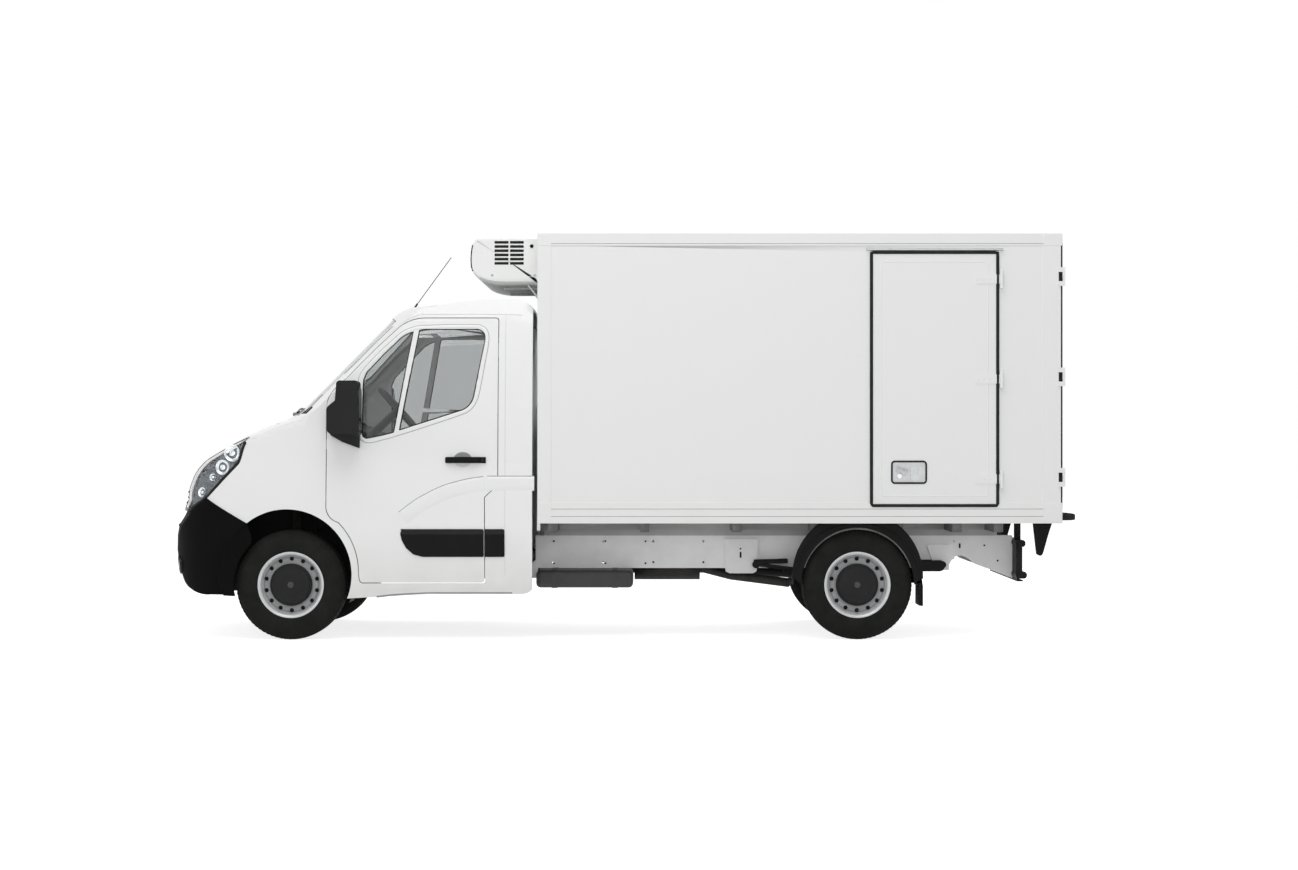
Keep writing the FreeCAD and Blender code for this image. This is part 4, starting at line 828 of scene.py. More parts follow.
# ---- Studio ----
@dataclass
class Studio:
  """A pale floor, soft lights, a white backdrop, and a level camera square to the side."""

  camera_at: Triple = (-0.206, 18.28, 1.331)
  focal_mm: float = 73.9
  world_strength: float = 0.5
  floor_glow: float = 0.8

  def build(self) -> None:
    """Set up the whole studio."""
    self.camera()
    self.lights()
    self.world()
    self.floor()
    scene = bpy.context.scene
    scene.view_settings.view_transform = "Standard"
    scene.view_settings.look = "None"

  def camera(self) -> None:
    """A level camera square to the truck's side."""
    data = bpy.data.cameras.new("camera")
    data.lens = self.focal_mm
    data.sensor_width = 36.0
    data.clip_end = 100.0
    camera = new_object("camera", data)
    camera.location = self.camera_at
    camera.rotation_euler = (math.pi / 2, 0, math.pi)
    bpy.context.scene.camera = camera

  def lights(self) -> None:
    """A key above the near side, fills from the side and ahead, one behind and a faint one in the cabin."""
    rows = (("key", (1.0, 6.0, 9.0), (-0.4, 0.0, 1.2), 7.0, 240.0),
        ("side", (-1.0, 21.0, 2.6), (0.0, 0.0, 1.0), 9.0, 880.0),
        ("nose", (9.0, 3.0, 4.0), (1.5, 0.0, 1.0), 4.0, 60.0),
        ("far", (-5.0, -7.0, 7.0), (-0.5, 0.0, 1.2), 6.0, 150.0), ("cabin", (1.15, 0.35, 1.97), (1.6, -0.6, 1.3), 0.5,
        5.0))
    for name, place, target, size, power in rows:
      data = bpy.data.lights.new(name, "AREA")
      data.shape = "DISK"
      data.size = size
      data.energy = power
      lamp = new_object(name, data)
      lamp.location = place
      lamp.rotation_euler = (Vector(target) - Vector(place)).to_track_quat("-Z", "Y").to_euler()
      lamp.visible_glossy = name not in ("side", "cabin")
      lamp.visible_camera = lamp.visible_transmission = name != "cabin"

  def world(self) -> None:
    """White where the camera, a reflection or a pane looks at it, and a softer white as a light."""
    world = bpy.data.worlds.new("studio")
    bpy.context.scene.world = world
    world.use_nodes = True
    tree = world.node_tree
    background = tree.nodes["Background"]
    strength = add_node(tree, "ShaderNodeMapRange",
        inputs={"Value": self.looked_at(tree), "To Min": self.world_strength, "To Max": 1.0})
    background.inputs["Color"].default_value = (1.0, 1.0, 1.0, 1.0)
    tree.links.new(strength.outputs["Result"], background.inputs["Strength"])

  def looked_at(self, tree: Tree) -> Socket:
    """One for rays from the camera, a reflection or a pane, zero for light that falls on things."""
    path = add_node(tree, "ShaderNodeLightPath")
    seen = path.outputs["Is Camera Ray"]
    for ray in ("Is Glossy Ray", "Is Transmission Ray"):
      seen = add_node(tree, "ShaderNodeMath", {"operation": "MAXIMUM"}, {0: seen, 1: path.outputs[ray]}).outputs[0]
    return seen

  def floor(self) -> None:
    """A pale floor that fades into the white backdrop and keeps the truck's soft shadow."""
    surface = Surface()
    turn = around(96)
    surface.add(np.stack([40 * np.cos(turn), 40 * np.sin(turn), 0 * turn - 0.0005], -1), [list(range(96))])
    mesh = bpy.data.meshes.new("floor")
    mesh.from_pydata(surface.points[0].tolist(), [], surface.faces)
    floor = new_object("floor", mesh)
    material = bpy.data.materials.new("matt_floor_paper")
    material.use_nodes = True
    tree = material.node_tree
    shader = tree.nodes["Principled BSDF"]
    for name, value in (("Base Color", linear("#e0e0e0")), ("Roughness", 1.0), ("Specular IOR Level", 0.0),
        ("Emission Color", linear("#ffffff"))):
      shader.inputs[name].default_value = value
    glow = add_node(tree, "ShaderNodeMath", {"operation": "MULTIPLY"}, {0: self.looked_at(tree), 1: self.floor_glow})
    tree.links.new(glow.outputs[0], shader.inputs["Emission Strength"])
    mesh.materials.append(material)


# ---- Cab ----
def from_axle(points_mm: Array | Triple) -> Array:
  """Turn millimetres from the ground under the front axle's middle into the frame's metres."""
  axle = spot("tyre_front_left", (0, 0, -1)) * [1, 0, 1]
  return axle + np.asarray(points_mm, float) * MM


def curve_through(corners: list[tuple[float, float]], steps: int = 12) -> Array:
  """A smooth path through a few points.

  Each stretch is a Catmull-Rom cubic of its two ends and their neighbours.
  """
  given = np.array(corners, float)
  ends = np.concatenate([[2 * given[0] - given[1]], given, [2 * given[-1] - given[-2]]])
  share = np.linspace(0, 1, steps, endpoint=False)[:, None, None]
  first, second, third, fourth = ends[:-3], ends[1:-2], ends[2:-1], ends[3:]
  path = 0.5 * (2 * second + (third - first) * share + (2 * first - 5 * second + 4 * third - fourth) * share ** 2
      + (3 * second - first - 3 * third + fourth) * share ** 3)
  return np.concatenate([path.transpose(1, 0, 2).reshape(-1, 2), given[-1:]])


@dataclass
class CabShell:
  """Painted panels of the cab with their shut lines, mouldings, handles and drip lines."""

  trim_top_mm: float = 722.0
  trim_low_mm: float = 541.0
  panels: dict[str, str] = field(default_factory=lambda: {"cab_shell": "root", "front_fenders": "root",
      "bonnet": "bonnet", "cab_door_left": "cab_door_left", "cab_door_right": "cab_door_right"})

  def lined_panel(self, node: str, body: str) -> None:
    """A smooth copy of a panel whose inner faces have the cabin's lining."""
    thing = recast(node, WHITE, body, smooth=26)
    heart = from_axle((-900, 0, 1300))
    lowest = -0.2 if node in ("bonnet", "front_fenders") else 2.0
    two_tone(thing, CABIN_TRIM, lambda middles, facing: (((heart - middles) * [0.25, 1, 1] * facing).sum(1) > 0.1)
        & (facing[:, 2] < lowest))
    if node == "cab_shell":
      wall, floor = from_axle((-72, 0, 0))[0], from_axle((0, 0, 560))[2]
      two_tone(thing, UNDERSEAL_AND_SHADE, lambda middles, facing: (np.abs(middles[:, 1]) < 0.978)
          & ((np.abs(middles[:, 0] - wall + 0.020) < 0.026) & (facing[:, 0] > -0.5) | (middles[:, 2] < floor + 0.001)
          & (middles[:, 2] > floor - 0.062)))
    modify(thing, "flow", "WEIGHTED_NORMAL", keep_sharp=True)

  def strip(self, name: str, body: str, side: float, path_mm: Array, width: float, proud: float, finish: Finish,
      skin: Skin, closed: bool = False, slot: str = "") -> None:
    """A moulding along a side-view path, laid on the skin of one side."""
    laid, normals = skin.from_side(path_mm, side)
    lay_strip(laid, bead(width, proud), normals, name, finish, body, closed=closed, slot=slot)

  def swage(self, name: str, body: str, side: float, path_mm: Array, skin: Skin) -> None:
    """A pressed step along a side-view path: it rises fast at its upper edge and falls off slowly below."""
    laid, normals = skin.from_side(path_mm, side)
    section = np.array([(-0.003, -0.002), (-0.001, 0.0035), (0.005, 0.0075), (0.016, 0.0088), (0.030, 0.0080),
        (0.060, 0.0035), (0.085, 0.0004), (0.090, -0.002)]) * [side, 1]
    Surface().sweep(laid, section, normals).piece(name, WHITE, body, smooth=60)
    Surface().sweep(laid + [0, 0, 0.0045], bead(0.0055, 0.0008), normals).piece(f"{name}_shade", SEAM_GREY, body,
        smooth=60)

  def patch(self, name: str, body: str, side: float, edge_mm: Array, proud: float, finish: Finish,
      skin: Skin) -> None:
    """A shallow pad with a rounded edge, filling a side-view outline and following the skin.

    Rings shrink from the outline to its middle: the first lies under the skin, the next rise to
    the pad's height.
    """
    middle = edge_mm.mean(0)
    share = np.concatenate([[1.0, 1.0, 0.985, 0.95], np.linspace(0.88, 0.02, 9)])
    rise = np.concatenate([[-0.003, 0.0, 0.75 * proud, 0.97 * proud], np.full(9, proud)])
    flat = middle + share[:, None, None] * (edge_mm - middle)
    laid, normals = skin.from_side(flat, side)
    Surface().grid(laid + normals * rise[:, None, None], wrap_columns=True, caps=True).piece(name, finish, body)

  def side_trims(self, name: str, side: float) -> None:
    """The black moulding along the door's foot and on to the cab's rear corner."""
    top, low = self.trim_top_mm, self.trim_low_mm
    door = np.array([(-724, top - 2), (-712, top), (-1253, top), (-1258, top - 5), (-1258, low + 4), (-1254, low),
        (-862, low), (-800, low + 16), (-752, low + 60), (-725, low + 110), (-716, top - 30)])
    skin = Skin(f"cab_door_{name}")
    self.patch(f"door_moulding_{name}", f"cab_door_{name}", side, even_flat(door), 0.011, BLACK_PLASTIC, skin)
    rear = np.array([(-1265, top), (-1384, top), (-1392, top - 6), (-1392, low + 5), (-1386, low), (-1265, low)])
    self.patch(f"corner_moulding_{name}", "root", side, even_flat(rear), 0.011, BLACK_PLASTIC, Skin("cab_shell"))
    # Painted highlight: the moulding's upper facet is paler, for the light it catches from above.
    facet = from_axle((0, 0, top - 34))[2]
    for part in ("door", "corner"):
      moulding = bpy.data.objects[f"{part}_moulding_{name}"]
      split_at(moulding, (0, 0, facet), (0, 0, 1))
      two_tone(moulding, PALE_PLASTIC_AND_HIGHLIGHT, lambda middles, facing: middles[:, 2] > facet)

  def handle(self, name: str, side: float) -> None:
    """A grip bar over a shallow pad whose painted shade stands for a dished recess, with its lock barrel."""
    skin = Skin(f"cab_door_{name}")
    body = f"cab_door_{name}"
    turn = around(40)
    dish = np.stack([-1120 + 60 * np.cos(turn), 1171 + 50 * np.sin(turn)], -1)
    # Painted shade: the pad is greyed white for the dish, and its upper half mid grey where the recess would shade
    # it.
    self.patch(f"handle_dish_{name}", body, side, dish, 0.002, SHADED_WHITE, skin)
    centre = from_axle((0, 0, 1180))[2]
    two_tone(bpy.data.objects[f"handle_dish_{name}"], SHADED_GREY, lambda middles, facing: middles[:, 2] > centre)
    laid, normals = skin.from_side([(x, 1168) for x in np.linspace(-1014, -1270, 24)], side)
    along = np.linspace(0, 1, len(laid))[:, None]
    lift = 0.006 + 0.026 * np.sin(np.pi * np.clip(along * 1.15, 0, 1)) ** 0.5
    lay_strip(laid + normals * lift, rounded(0.040, 0.020, 0.009), normals, f"door_handle_{name}", BLACK_PLASTIC,
        body)
    barrel = laid[-3] + normals[-3] * 0.014
    Surface().lathe([(0.011, 0.0), (0.011, 0.012 * side), (0.008, 0.015 * side), (0.0, 0.015 * side)], barrel, Axis.Y,
        24).piece(f"door_lock_{name}", GLOSS_BLACK, body, slot="rim_steel")

  def build(self) -> None:
    """Make the cab's panels and everything laid on them."""
    for node, body in self.panels.items():
      self.lined_panel(node, body)
    for name, side in SIDES.items():
      door = Skin(f"cab_door_{name}")
      self.side_trims(name, side)
      self.handle(name, side)
      swage = curve_through([(-707, 826), (-770, 876), (-849, 928), (-986, 996), (-1140, 1040), (-1255, 1058)])
      self.swage(f"door_swage_{name}", f"cab_door_{name}", side, swage, door)
      level = np.stack([np.linspace(-1280, -1584, 20), np.full(20, 1060.0)], -1)
      shell = Skin("cab_shell")
      self.swage(f"corner_swage_{name}", "root", side, level, shell)
      pillar = np.stack([np.full(30, -1394.0), np.linspace(420, 2130, 30)], -1)
      # Painted shade: a greyed white line down the corner seam's gap.
      self.strip(f"corner_seam_{name}", "root", side, pillar, 0.004, 0.0006, SHADED_WHITE, shell, slot="rubber")
      # Painted shade: a grey strip along the sill's foot where it turns under.
      foot = np.stack([np.linspace(-1440, -560, 60), np.full(60, 281.0)], -1)
      self.strip(f"corner_sill_foot_{name}", "root", side, foot, 0.013, 0.0008, SHADED_GREY, shell)
      self.window_trim(name, side)
      self.roof_gutter(name, side)

  def window_trim(self, name: str, side: float) -> None:
    """The panes' thin seals, the pressed white frame round both, and its shadow line."""
    body = f"cab_door_{name}"
    for number, (path, normals) in enumerate(edge_loops(f"door_glass_{name}", (0, side, 0))):
      lay_strip(path + normals * 0.002, bead(0.012, 0.006, 0.004), normals, f"window_seal_{name}_{number}",
          SEAL_RUBBER, body, closed=True)
    skin = Skin(body, f"door_glass_{name}")
    self.strip(f"window_frame_{name}", body, side, self.round_panes(15), 0.022, 0.0045, WHITE, skin, True)
    self.strip(f"window_groove_{name}", body, side, self.round_panes(27), 0.0045, 0.0012, SEAM_GREY, skin, True,
        "rubber")

  def round_panes(self, grow: float) -> Array:
    """One outline round both panes, in side-view millimetres, moved outwards by an amount."""
    ends = [(-465, 1480), (-468, 1345), (-482, 1316), (-520, 1308), (-600, 1327), (-672, 1347), (-880, 1413),
        (-1090, 1484), (-1150, 1513), (-1185, 1565), (-1203, 1630), (-1232, 1790), (-1255, 1925), (-1254, 1990),
        (-1228, 2019), (-1180, 2024), (-1000, 2024), (-828, 2016), (-796, 2008), (-740, 1986), (-690, 1945),
        (-620, 1880), (-556, 1815), (-500, 1752), (-472, 1705), (-464, 1650)]
    path = curve_through(ends + ends[:1], 5)[:-1]
    ahead = np.roll(path, -1, 0) - np.roll(path, 1, 0)
    normal = np.stack([-ahead[:, 1], ahead[:, 0]], -1) / np.linalg.norm(ahead, axis=1)[:, None]
    return path - normal * grow * np.sign(normal[0, 0] * (path[0, 0] - path[:, 0].mean())) * -1

  def roof_gutter(self, name: str, side: float) -> None:
    """The drip moulding along the roof's edge above the door."""
    line = curve_through([(-480, 1868), (-640, 2010), (-790, 2106), (-900, 2124), (-1330, 2126), (-1500, 2120)], 16)
    self.strip(f"roof_gutter_{name}", "root", side, line, 0.012, 0.005, WHITE, Skin("cab_shell"))


def even_flat(corners: Array) -> Array:
  """A flat closed outline in millimetres with a point every 9 mm."""
  return carry(corners, corners, 9.0)


@dataclass
class Ease:
  """The last gentle shaping of the cab's outline, alike for its panels and for what is laid on them.

  Heights and lengths are millimetres over the front axle's ground point. Each change is a shift
  that is interpolated along the outline and fades out over a band, so that neighbours stay together.
  """

  frame: dict
  named: tuple[str, ...] = ("cab_shell_skin", "bonnet", "front_fenders", "grille", "headlamp", "bumper", "fog_lamp",
      "intake", "roof_gutter", "corner_")
  cuts_mm: tuple[float, ...] = (-830, -960, -1209, -1350, -1484, -1510, -1530, -1550, -1569, -1583)
  corner_mm: float = 85.0

  def shift(self, x: Array, z: Array) -> tuple[Array, Array]:
    """How far a place moves back and up.

    Args:
      x: Lengths in millimetres.
      z: Heights in millimetres.

    Returns:
      The shifts along x and z.
    """
    nose = np.interp(z, [780, 860, 912, 967, 1022, 1132, 1187, 1242, 1300, 1440],
        [0, 14, 28, 32, 38, 36, 26, 28, 20, 0]) * np.clip((x - 250) / 400, 0, 1)
    chin = 18 * np.clip((420 - z) / 150, 0, 1) * np.clip((x - 150) / 100, 0, 1)
    sill = np.interp(x, [-1606, -888, -732, -654, -560], [28, 28, 19, 12, 0])
    inside = np.clip(-x - 1590 + self.corner_mm, 0, self.corner_mm)
    sill = (sill + self.corner_mm - np.sqrt(self.corner_mm ** 2 - inside ** 2)) * np.clip((372 - z) / 100, 0, 1)
    roof = np.interp(x, [-1602, -1569, -1530, -1484, -1209, -960, -830, -740], [117, 83, 45, 24, 22, 26, 14, 0])
    return -nose, chin + sill - roof * np.clip((z - 2105) / 135, 0, 1)

  def build(self) -> None:
    """Cut the shell where its roof and sill bend, and shape every piece that is named."""
    shell = bpy.data.objects["cab_shell_skin"]
    for x in self.cuts_mm:
      split_at(shell, from_axle((x, 0, 0)), (1, 0, 0))
    origin = from_axle((0, 0, 0))
    kept = set(self.frame["nodes"])
    for thing in bpy.data.objects:
      if thing.name.startswith(self.named) and thing.type == "MESH" and thing.name not in kept:
        points = read(thing.data.vertices, "co")
        back, up = self.shift(*((points - origin)[:, [0, 2]] / MM).T)
        points[:, 0] += back * MM
        points[:, 2] += up * MM
        thing.data.vertices.foreach_set("co", points.reshape(-1))
        thing.data.update()


@dataclass
class WheelHouse:
  """The black liner of a front wheel arch, its inner wall, and the lip that closes the bumper's edge."""

  name: str
  side: float
  reach_mm: float = 444.0
  wall_y: float = 0.552
  inner_y: float = 0.700
  outer_y: float = 0.985
  lip_y: tuple[float, float] = (0.999, 1.012)

  def build(self) -> None:
    """Make the liner, the wall and the lip."""
    middle = from_axle((20, 0, 430))
    turn = np.radians(np.linspace(-17, 205, 60))
    arc = circle(turn)
    outer, inner = arc * self.reach_mm * MM, arc * (self.reach_mm - 4) * MM
    ring = np.concatenate([outer, inner[::-1]]) + middle[[0, 2]]
    Surface().prism(ring, self.side * self.inner_y, self.side * self.outer_y, Axis.Y).piece(f"arch_skin_{self.name}",
        BLACK_PLASTIC, smooth=50)
    low = np.array([[arc[-1, 0], 0.0], [arc[0, 0], 0.0]]) * self.reach_mm * MM
    low[:, 1] = from_axle((0, 0, 281))[2] - middle[2]
    wall = np.concatenate([outer * 1.03, low[::-1] * 1.03]) + middle[[0, 2]]
    Surface().prism(wall, self.side * self.wall_y, self.side * (self.wall_y - 0.004), Axis.Y).piece(
        f"arch_wall_{self.name}", BLACK_PLASTIC, smooth=50)
    self.lip()

  def lip(self) -> None:
    """A flat black apron behind the bumper's rear edge, from the arch down to the bumper's foot.

    Its rear edge is an arc just outside the steered tyre's sweep.
    """
    turn = np.radians(np.linspace(-14, 62, 24))
    back = np.stack([366 * np.cos(turn), 357 + 366 * np.sin(turn)], -1)
    back[:, 0] = np.maximum(back[:, 0], 250)
    front = np.array([(285, 760), (420, 640), (450, 500), (450, 300), (430, 272), (366, 268)])
    flat = from_axle(np.insert(np.concatenate([back, front]), 1, 0.0, axis=1))[:, [0, 2]]
    Surface().prism(flat, self.side * self.lip_y[0], self.side * self.lip_y[1], Axis.Y).piece(
        f"bumper_apron_{self.name}", DEEP_PLASTIC, bevel=0.002, smooth=50)


@dataclass
class FrontEnd:
  """Headlamps, grille, bumper, screen, cowl and wipers."""

  bowls_mm: tuple[tuple[float, float, float], ...] = ((391, 1214, 56), (463, 1122, 50), (535, 1057, 26),
      (613, 959, 34))

  def headlamp(self, name: str, side: float) -> None:
    """A clear skin over a grey housing with bright reflector bowls, framed by a dark bezel.

    The skin is the CAD lamp's outer faces made thin; the housing is the same faces pushed in.
    """
    mesh = bpy.data.objects["headlamps"].data
    centres = read(mesh.polygons, "center")
    normals = read(mesh.polygons, "normal")
    away = centres - from_axle((-100, 0, 850))
    outward = (normals * away).sum(1) / np.linalg.norm(away, axis=1) > 0.45
    keep = np.nonzero(outward & (centres[:, 1] * side > 0))[0]
    points = read(mesh.vertices, "co")
    corners = np.array([polygon.vertices[:] for polygon in mesh.polygons])[keep]
    used, faces = np.unique(corners, return_inverse=True)
    faces = faces.reshape(-1, 3)
    for part, finish, depth, thick in (("lens", LENS, 0.0, 0.003), ("housing", LAMP_HOUSING, 0.014, 0.002)):
      thing = Surface().add(points[used], faces).piece(f"headlamp_{part}_{name}", finish)
      if depth:
        two_tone(thing, GLOSS_BLACK, lambda middles, units: np.abs(units[:, 1]) < 0.30)
        modify(thing, "sink", "DISPLACE", strength=-depth, mid_level=0.0)
      modify(thing, "wall", "SOLIDIFY", thickness=thick, offset=-1.0)
    skin = Skin("headlamps")
    for number, (x, z, radius) in enumerate(self.bowls_mm):
      places, facing = skin.from_side([(x, z)], side)
      front = places[0] - facing[0] * 0.005
      self.bowl(f"headlamp_bowl_{name}_{number}", front, facing[0], radius * MM)
    for number, (path, units) in enumerate(edge_loops("headlamps", (0.75, side * 0.65, 0.25), 0.25)):
      if path[:, 1].mean() * side > 0 and number < 2:
        lay_strip(path - units * 0.001, bead(0.020, 0.0042, 0.020), units, f"headlamp_bezel_{name}_{number}",
            GLOSS_BLACK, closed=True)

  def bowl(self, name: str, front: Array, facing: Array, radius: float) -> None:
    """A shallow bright dish with a rolled rim and a small lens in its middle, set along the lamp's skin."""
    heading = Vector(facing)
    profile = [(radius, -0.013), (radius, -0.002), (radius * 0.96, 0.0), (radius * 0.90, -0.001),
        (radius * 0.80, -0.007), (radius * 0.55, -0.0105), (radius * 0.36, -0.0115), (radius * 0.35, -0.005),
        (radius * 0.22, -0.0025), (0.0, -0.0015)]
    turn = Vector((0, 0, 1)).rotation_difference(heading).to_matrix()
    surface = Surface().lathe(profile, (0, 0, 0), Axis.Z, 48)
    surface.points = [np.concatenate(surface.points) @ np.array(turn).T + front]
    surface.piece(name, CHROME)

  def grille(self) -> None:
    """The dark panel with three raised bars between the lamps."""
    recast("grille", BLACK_PLASTIC)
    skin = Skin("grille")
    for number, z in enumerate((880, 915, 950)):
      path = from_axle(np.array([(1100, y, z) for y in np.linspace(-455, 455, 60)]))
      laid, normals = skin.lay(path, (-1, 0, 0))
      lay_strip(laid, bead(0.018, 0.010, 0.003), normals, f"grille_bar_{number}", BLACK_PLASTIC)

  def bumper(self) -> None:
    """The grained bumper with its fold line, fog lamps and lower intake bars."""
    recast("bumper", DEEP_PLASTIC, smooth=24)
    skin = Skin("bumper")
    for name, side in SIDES.items():
      start = from_axle((1100, 770 * side, 480))
      places, facing = skin.lay(start[None], (-1, 0, 0))
      self.fog_lamp(name, places[0], facing[0])
      fold = from_axle(np.array([(1000, y * side, 735) for y in np.linspace(560, 940, 24)]))
      laid, normals = skin.lay(fold, (-0.8, -0.6 * side, 0))
      lay_strip(laid, bead(0.014, 0.004), normals, f"bumper_fold_{name}", DEEP_PLASTIC)
    for number, z in enumerate((420, 470, 520, 570)):
      path = from_axle(np.array([(1100, y, z) for y in np.linspace(-520, 520, 60)]))
      laid, normals = skin.lay(path, (-1, 0, 0))
      lay_strip(laid - normals * 0.003, bead(0.016, 0.003, 0.003), normals, f"intake_bar_{number}", GLOSS_BLACK)

  def fog_lamp(self, name: str, at: Array, facing: Array) -> None:
    """A round lamp behind a collar in the bumper's corner."""
    turn = np.array(Vector((0, 0, 1)).rotation_difference(Vector(facing)).to_matrix()).T
    for part, finish, profile in (("collar", GLOSS_BLACK, [(0.062, -0.01), (0.062, 0.004), (0.056, 0.007),
        (0.048, 0.004), (0.046, -0.01)]), ("bowl", CHROME, [(0.0475, 0.001), (0.040, -0.004), (0.02, -0.0075),
        (0.0, -0.008)]), ("lens", LENS, [(0.047, 0.0), (0.047, 0.003), (0.03, 0.005), (0.0, 0.006)])):
      surface = Surface().lathe(profile, (0, 0, 0), Axis.Z, 40)
      surface.points = [np.concatenate(surface.points) @ turn + at]
      surface.piece(f"fog_lamp_{part}_{name}", finish)

  def screen(self) -> None:
    """The windscreen with its outer rubber, cowl grating and two wipers."""
    recast("windscreen", SCREEN_GLASS, smooth=40)
    loops = edge_loops("windscreen", (0.75, 0, 0.66), 0.2)
    for number, (path, normals) in enumerate(loops[:1]):
      lay_strip(path, bead(0.030, 0.004, 0.003), normals, f"screen_rubber_{number}", LIP_GREY, closed=True)
    skin = Skin("windscreen", "cab_shell", "bonnet")
    across = np.linspace(-700, 700, 60)
    laid, normals = skin.lay(self.above_screen(across, 8), (0, 0, -1))
    lay_strip(laid, bead(0.060, 0.003, 0.004), normals, "cowl_grating", WIPER_GREY)
    for number, (start, reach) in enumerate(((560, 620), (-60, 600))):
      self.wiper(number, skin, start, reach)

  def above_screen(self, across: Array, back: Array | float) -> Array:
    """Points high above the screen's foot: x is a circle about the nose's pivot, less a step back."""
    pivot, reach = -2500.0, 2571.0
    x = pivot + np.sqrt((reach - back + 0 * across) ** 2 - across ** 2)
    return from_axle(np.stack([x, across, np.full_like(across, 2600.0)], -1))

  def wiper(self, number: int, skin: Skin, start: float, reach: float) -> None:
    """An arm from its spindle cap to the blade that lies along the foot of the screen."""
    pick = np.linspace(0, 1, 20)
    laid, normals = skin.lay(self.above_screen(start - reach * pick, 32 + 34 * pick), (0, 0, -1))
    lay_strip(laid + normals * 0.006, rounded(0.010, 0.011, 0.003), normals, f"wiper_blade_{number}", WIPER_GREY,
        slot="rubber")
    foot, up = skin.lay(self.above_screen(np.array([start + 40.0]), 6), (0, 0, -1))
    path = np.stack([foot[0] + up[0] * 0.010, 0.5 * (foot[0] + laid[9]) + normals[9] * 0.019,
        laid[9] + normals[9] * 0.013])
    lay_strip(path, rounded(0.016, 0.007, 0.003), up[0], f"wiper_arm_{number}", WIPER_GREY, slot="dark_steel")
    Surface().lathe([(0.017, -0.004), (0.017, 0.007), (0.013, 0.010), (0.0, 0.011)], foot[0], Axis.Z, 24).piece(
        f"wiper_cap_{number}", BLACK_PLASTIC, smooth=50)

  def pillar_strip(self, name: str, side: float) -> None:
    """The rubber lip along the front edge of a windscreen pillar."""
    line = curve_through([(-640, 2047), (-520, 1933), (-400, 1808), (-250, 1664), (-80, 1480)], 8)
    laid, normals = Skin("cab_shell", "windscreen").from_side(line, side)
    lay_strip(laid, bead(0.018, 0.002, 0.004), normals, f"pillar_strip_{name}", LIP_GREY)

  def aerial(self) -> None:
    """A thin whip that leans back from its foot at the front of the roof."""
    skin = Skin("cab_shell")
    foot, up = skin.lay(from_axle((-708, 0, 2500))[None], (0, 0, -1))
    tip = foot[0] + np.array([-0.263, 0.0, 0.360])
    Surface().bar(foot[0] - up[0] * 0.002, foot[0] + (tip - foot[0]) * 0.12, 0.0065, 16).bar(foot[0], tip, 0.0026,
        10).piece("aerial", GLOSS_BLACK, smooth=50)
    Surface().lathe([(0.022, -0.003), (0.021, 0.006), (0.012, 0.015), (0.0, 0.017)], foot[0], Axis.Z, 24).piece(
        "aerial_foot", BLACK_PLASTIC, smooth=50)

  def build(self) -> None:
    """Make all of the front end."""
    for name, side in SIDES.items():
      self.headlamp(name, side)
      self.pillar_strip(name, side)
    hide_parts("headlamps")
    self.grille()
    self.bumper()
    self.screen()
    self.aerial()


@dataclass
class Mirror:
  """A door mirror: grained housing, the silvered glass and a repeater lamp."""

  name: str
  side: float

  def build(self) -> None:
    """Make the mirror's pieces."""
    node, body = f"mirror_{self.name}", f"cab_door_{self.name}"
    recast(node, PALE_PLASTIC_AND_HIGHLIGHT, body, smooth=24)
    low, high = spot(node, (-1, -1, -1)), spot(node, (1, 1, 1))
    outer = high[1] if self.side > 0 else low[1]
    back_x, mid_y = spot(node, (-1, 0, 0))[0], outer - self.side * 0.100
    for part, middle_z, height in (("main", -0.055, 0.205), ("wide", -0.245, 0.100)):
      flat = rounded(0.160, height, 0.028) + [mid_y, high[2] + middle_z - height / 2]
      Surface().prism(flat, back_x + 0.001, back_x + 0.006, Axis.X).piece(f"mirror_glass_{part}_{self.name}",
          MIRROR_GLASS, body, bevel=0.001)
      frame_edge = rounded(0.172, height + 0.012, 0.033) + [mid_y, high[2] + middle_z - height / 2]
      Surface().prism(frame_edge, back_x + 0.0005, back_x + 0.004, Axis.X).piece(f"mirror_frame_{part}_{self.name}",
          GLOSS_BLACK, body, bevel=0.001)
    lamp = rounded(0.062, 0.018, 0.006) + [high[0] - 0.055, low[2] + 0.150]
    Surface().prism(lamp, outer - self.side * 0.003, outer - self.side * 0.0005, Axis.Y).piece(
        f"repeater_lamp_{self.name}", AMBER_LENS, body, bevel=0.001)


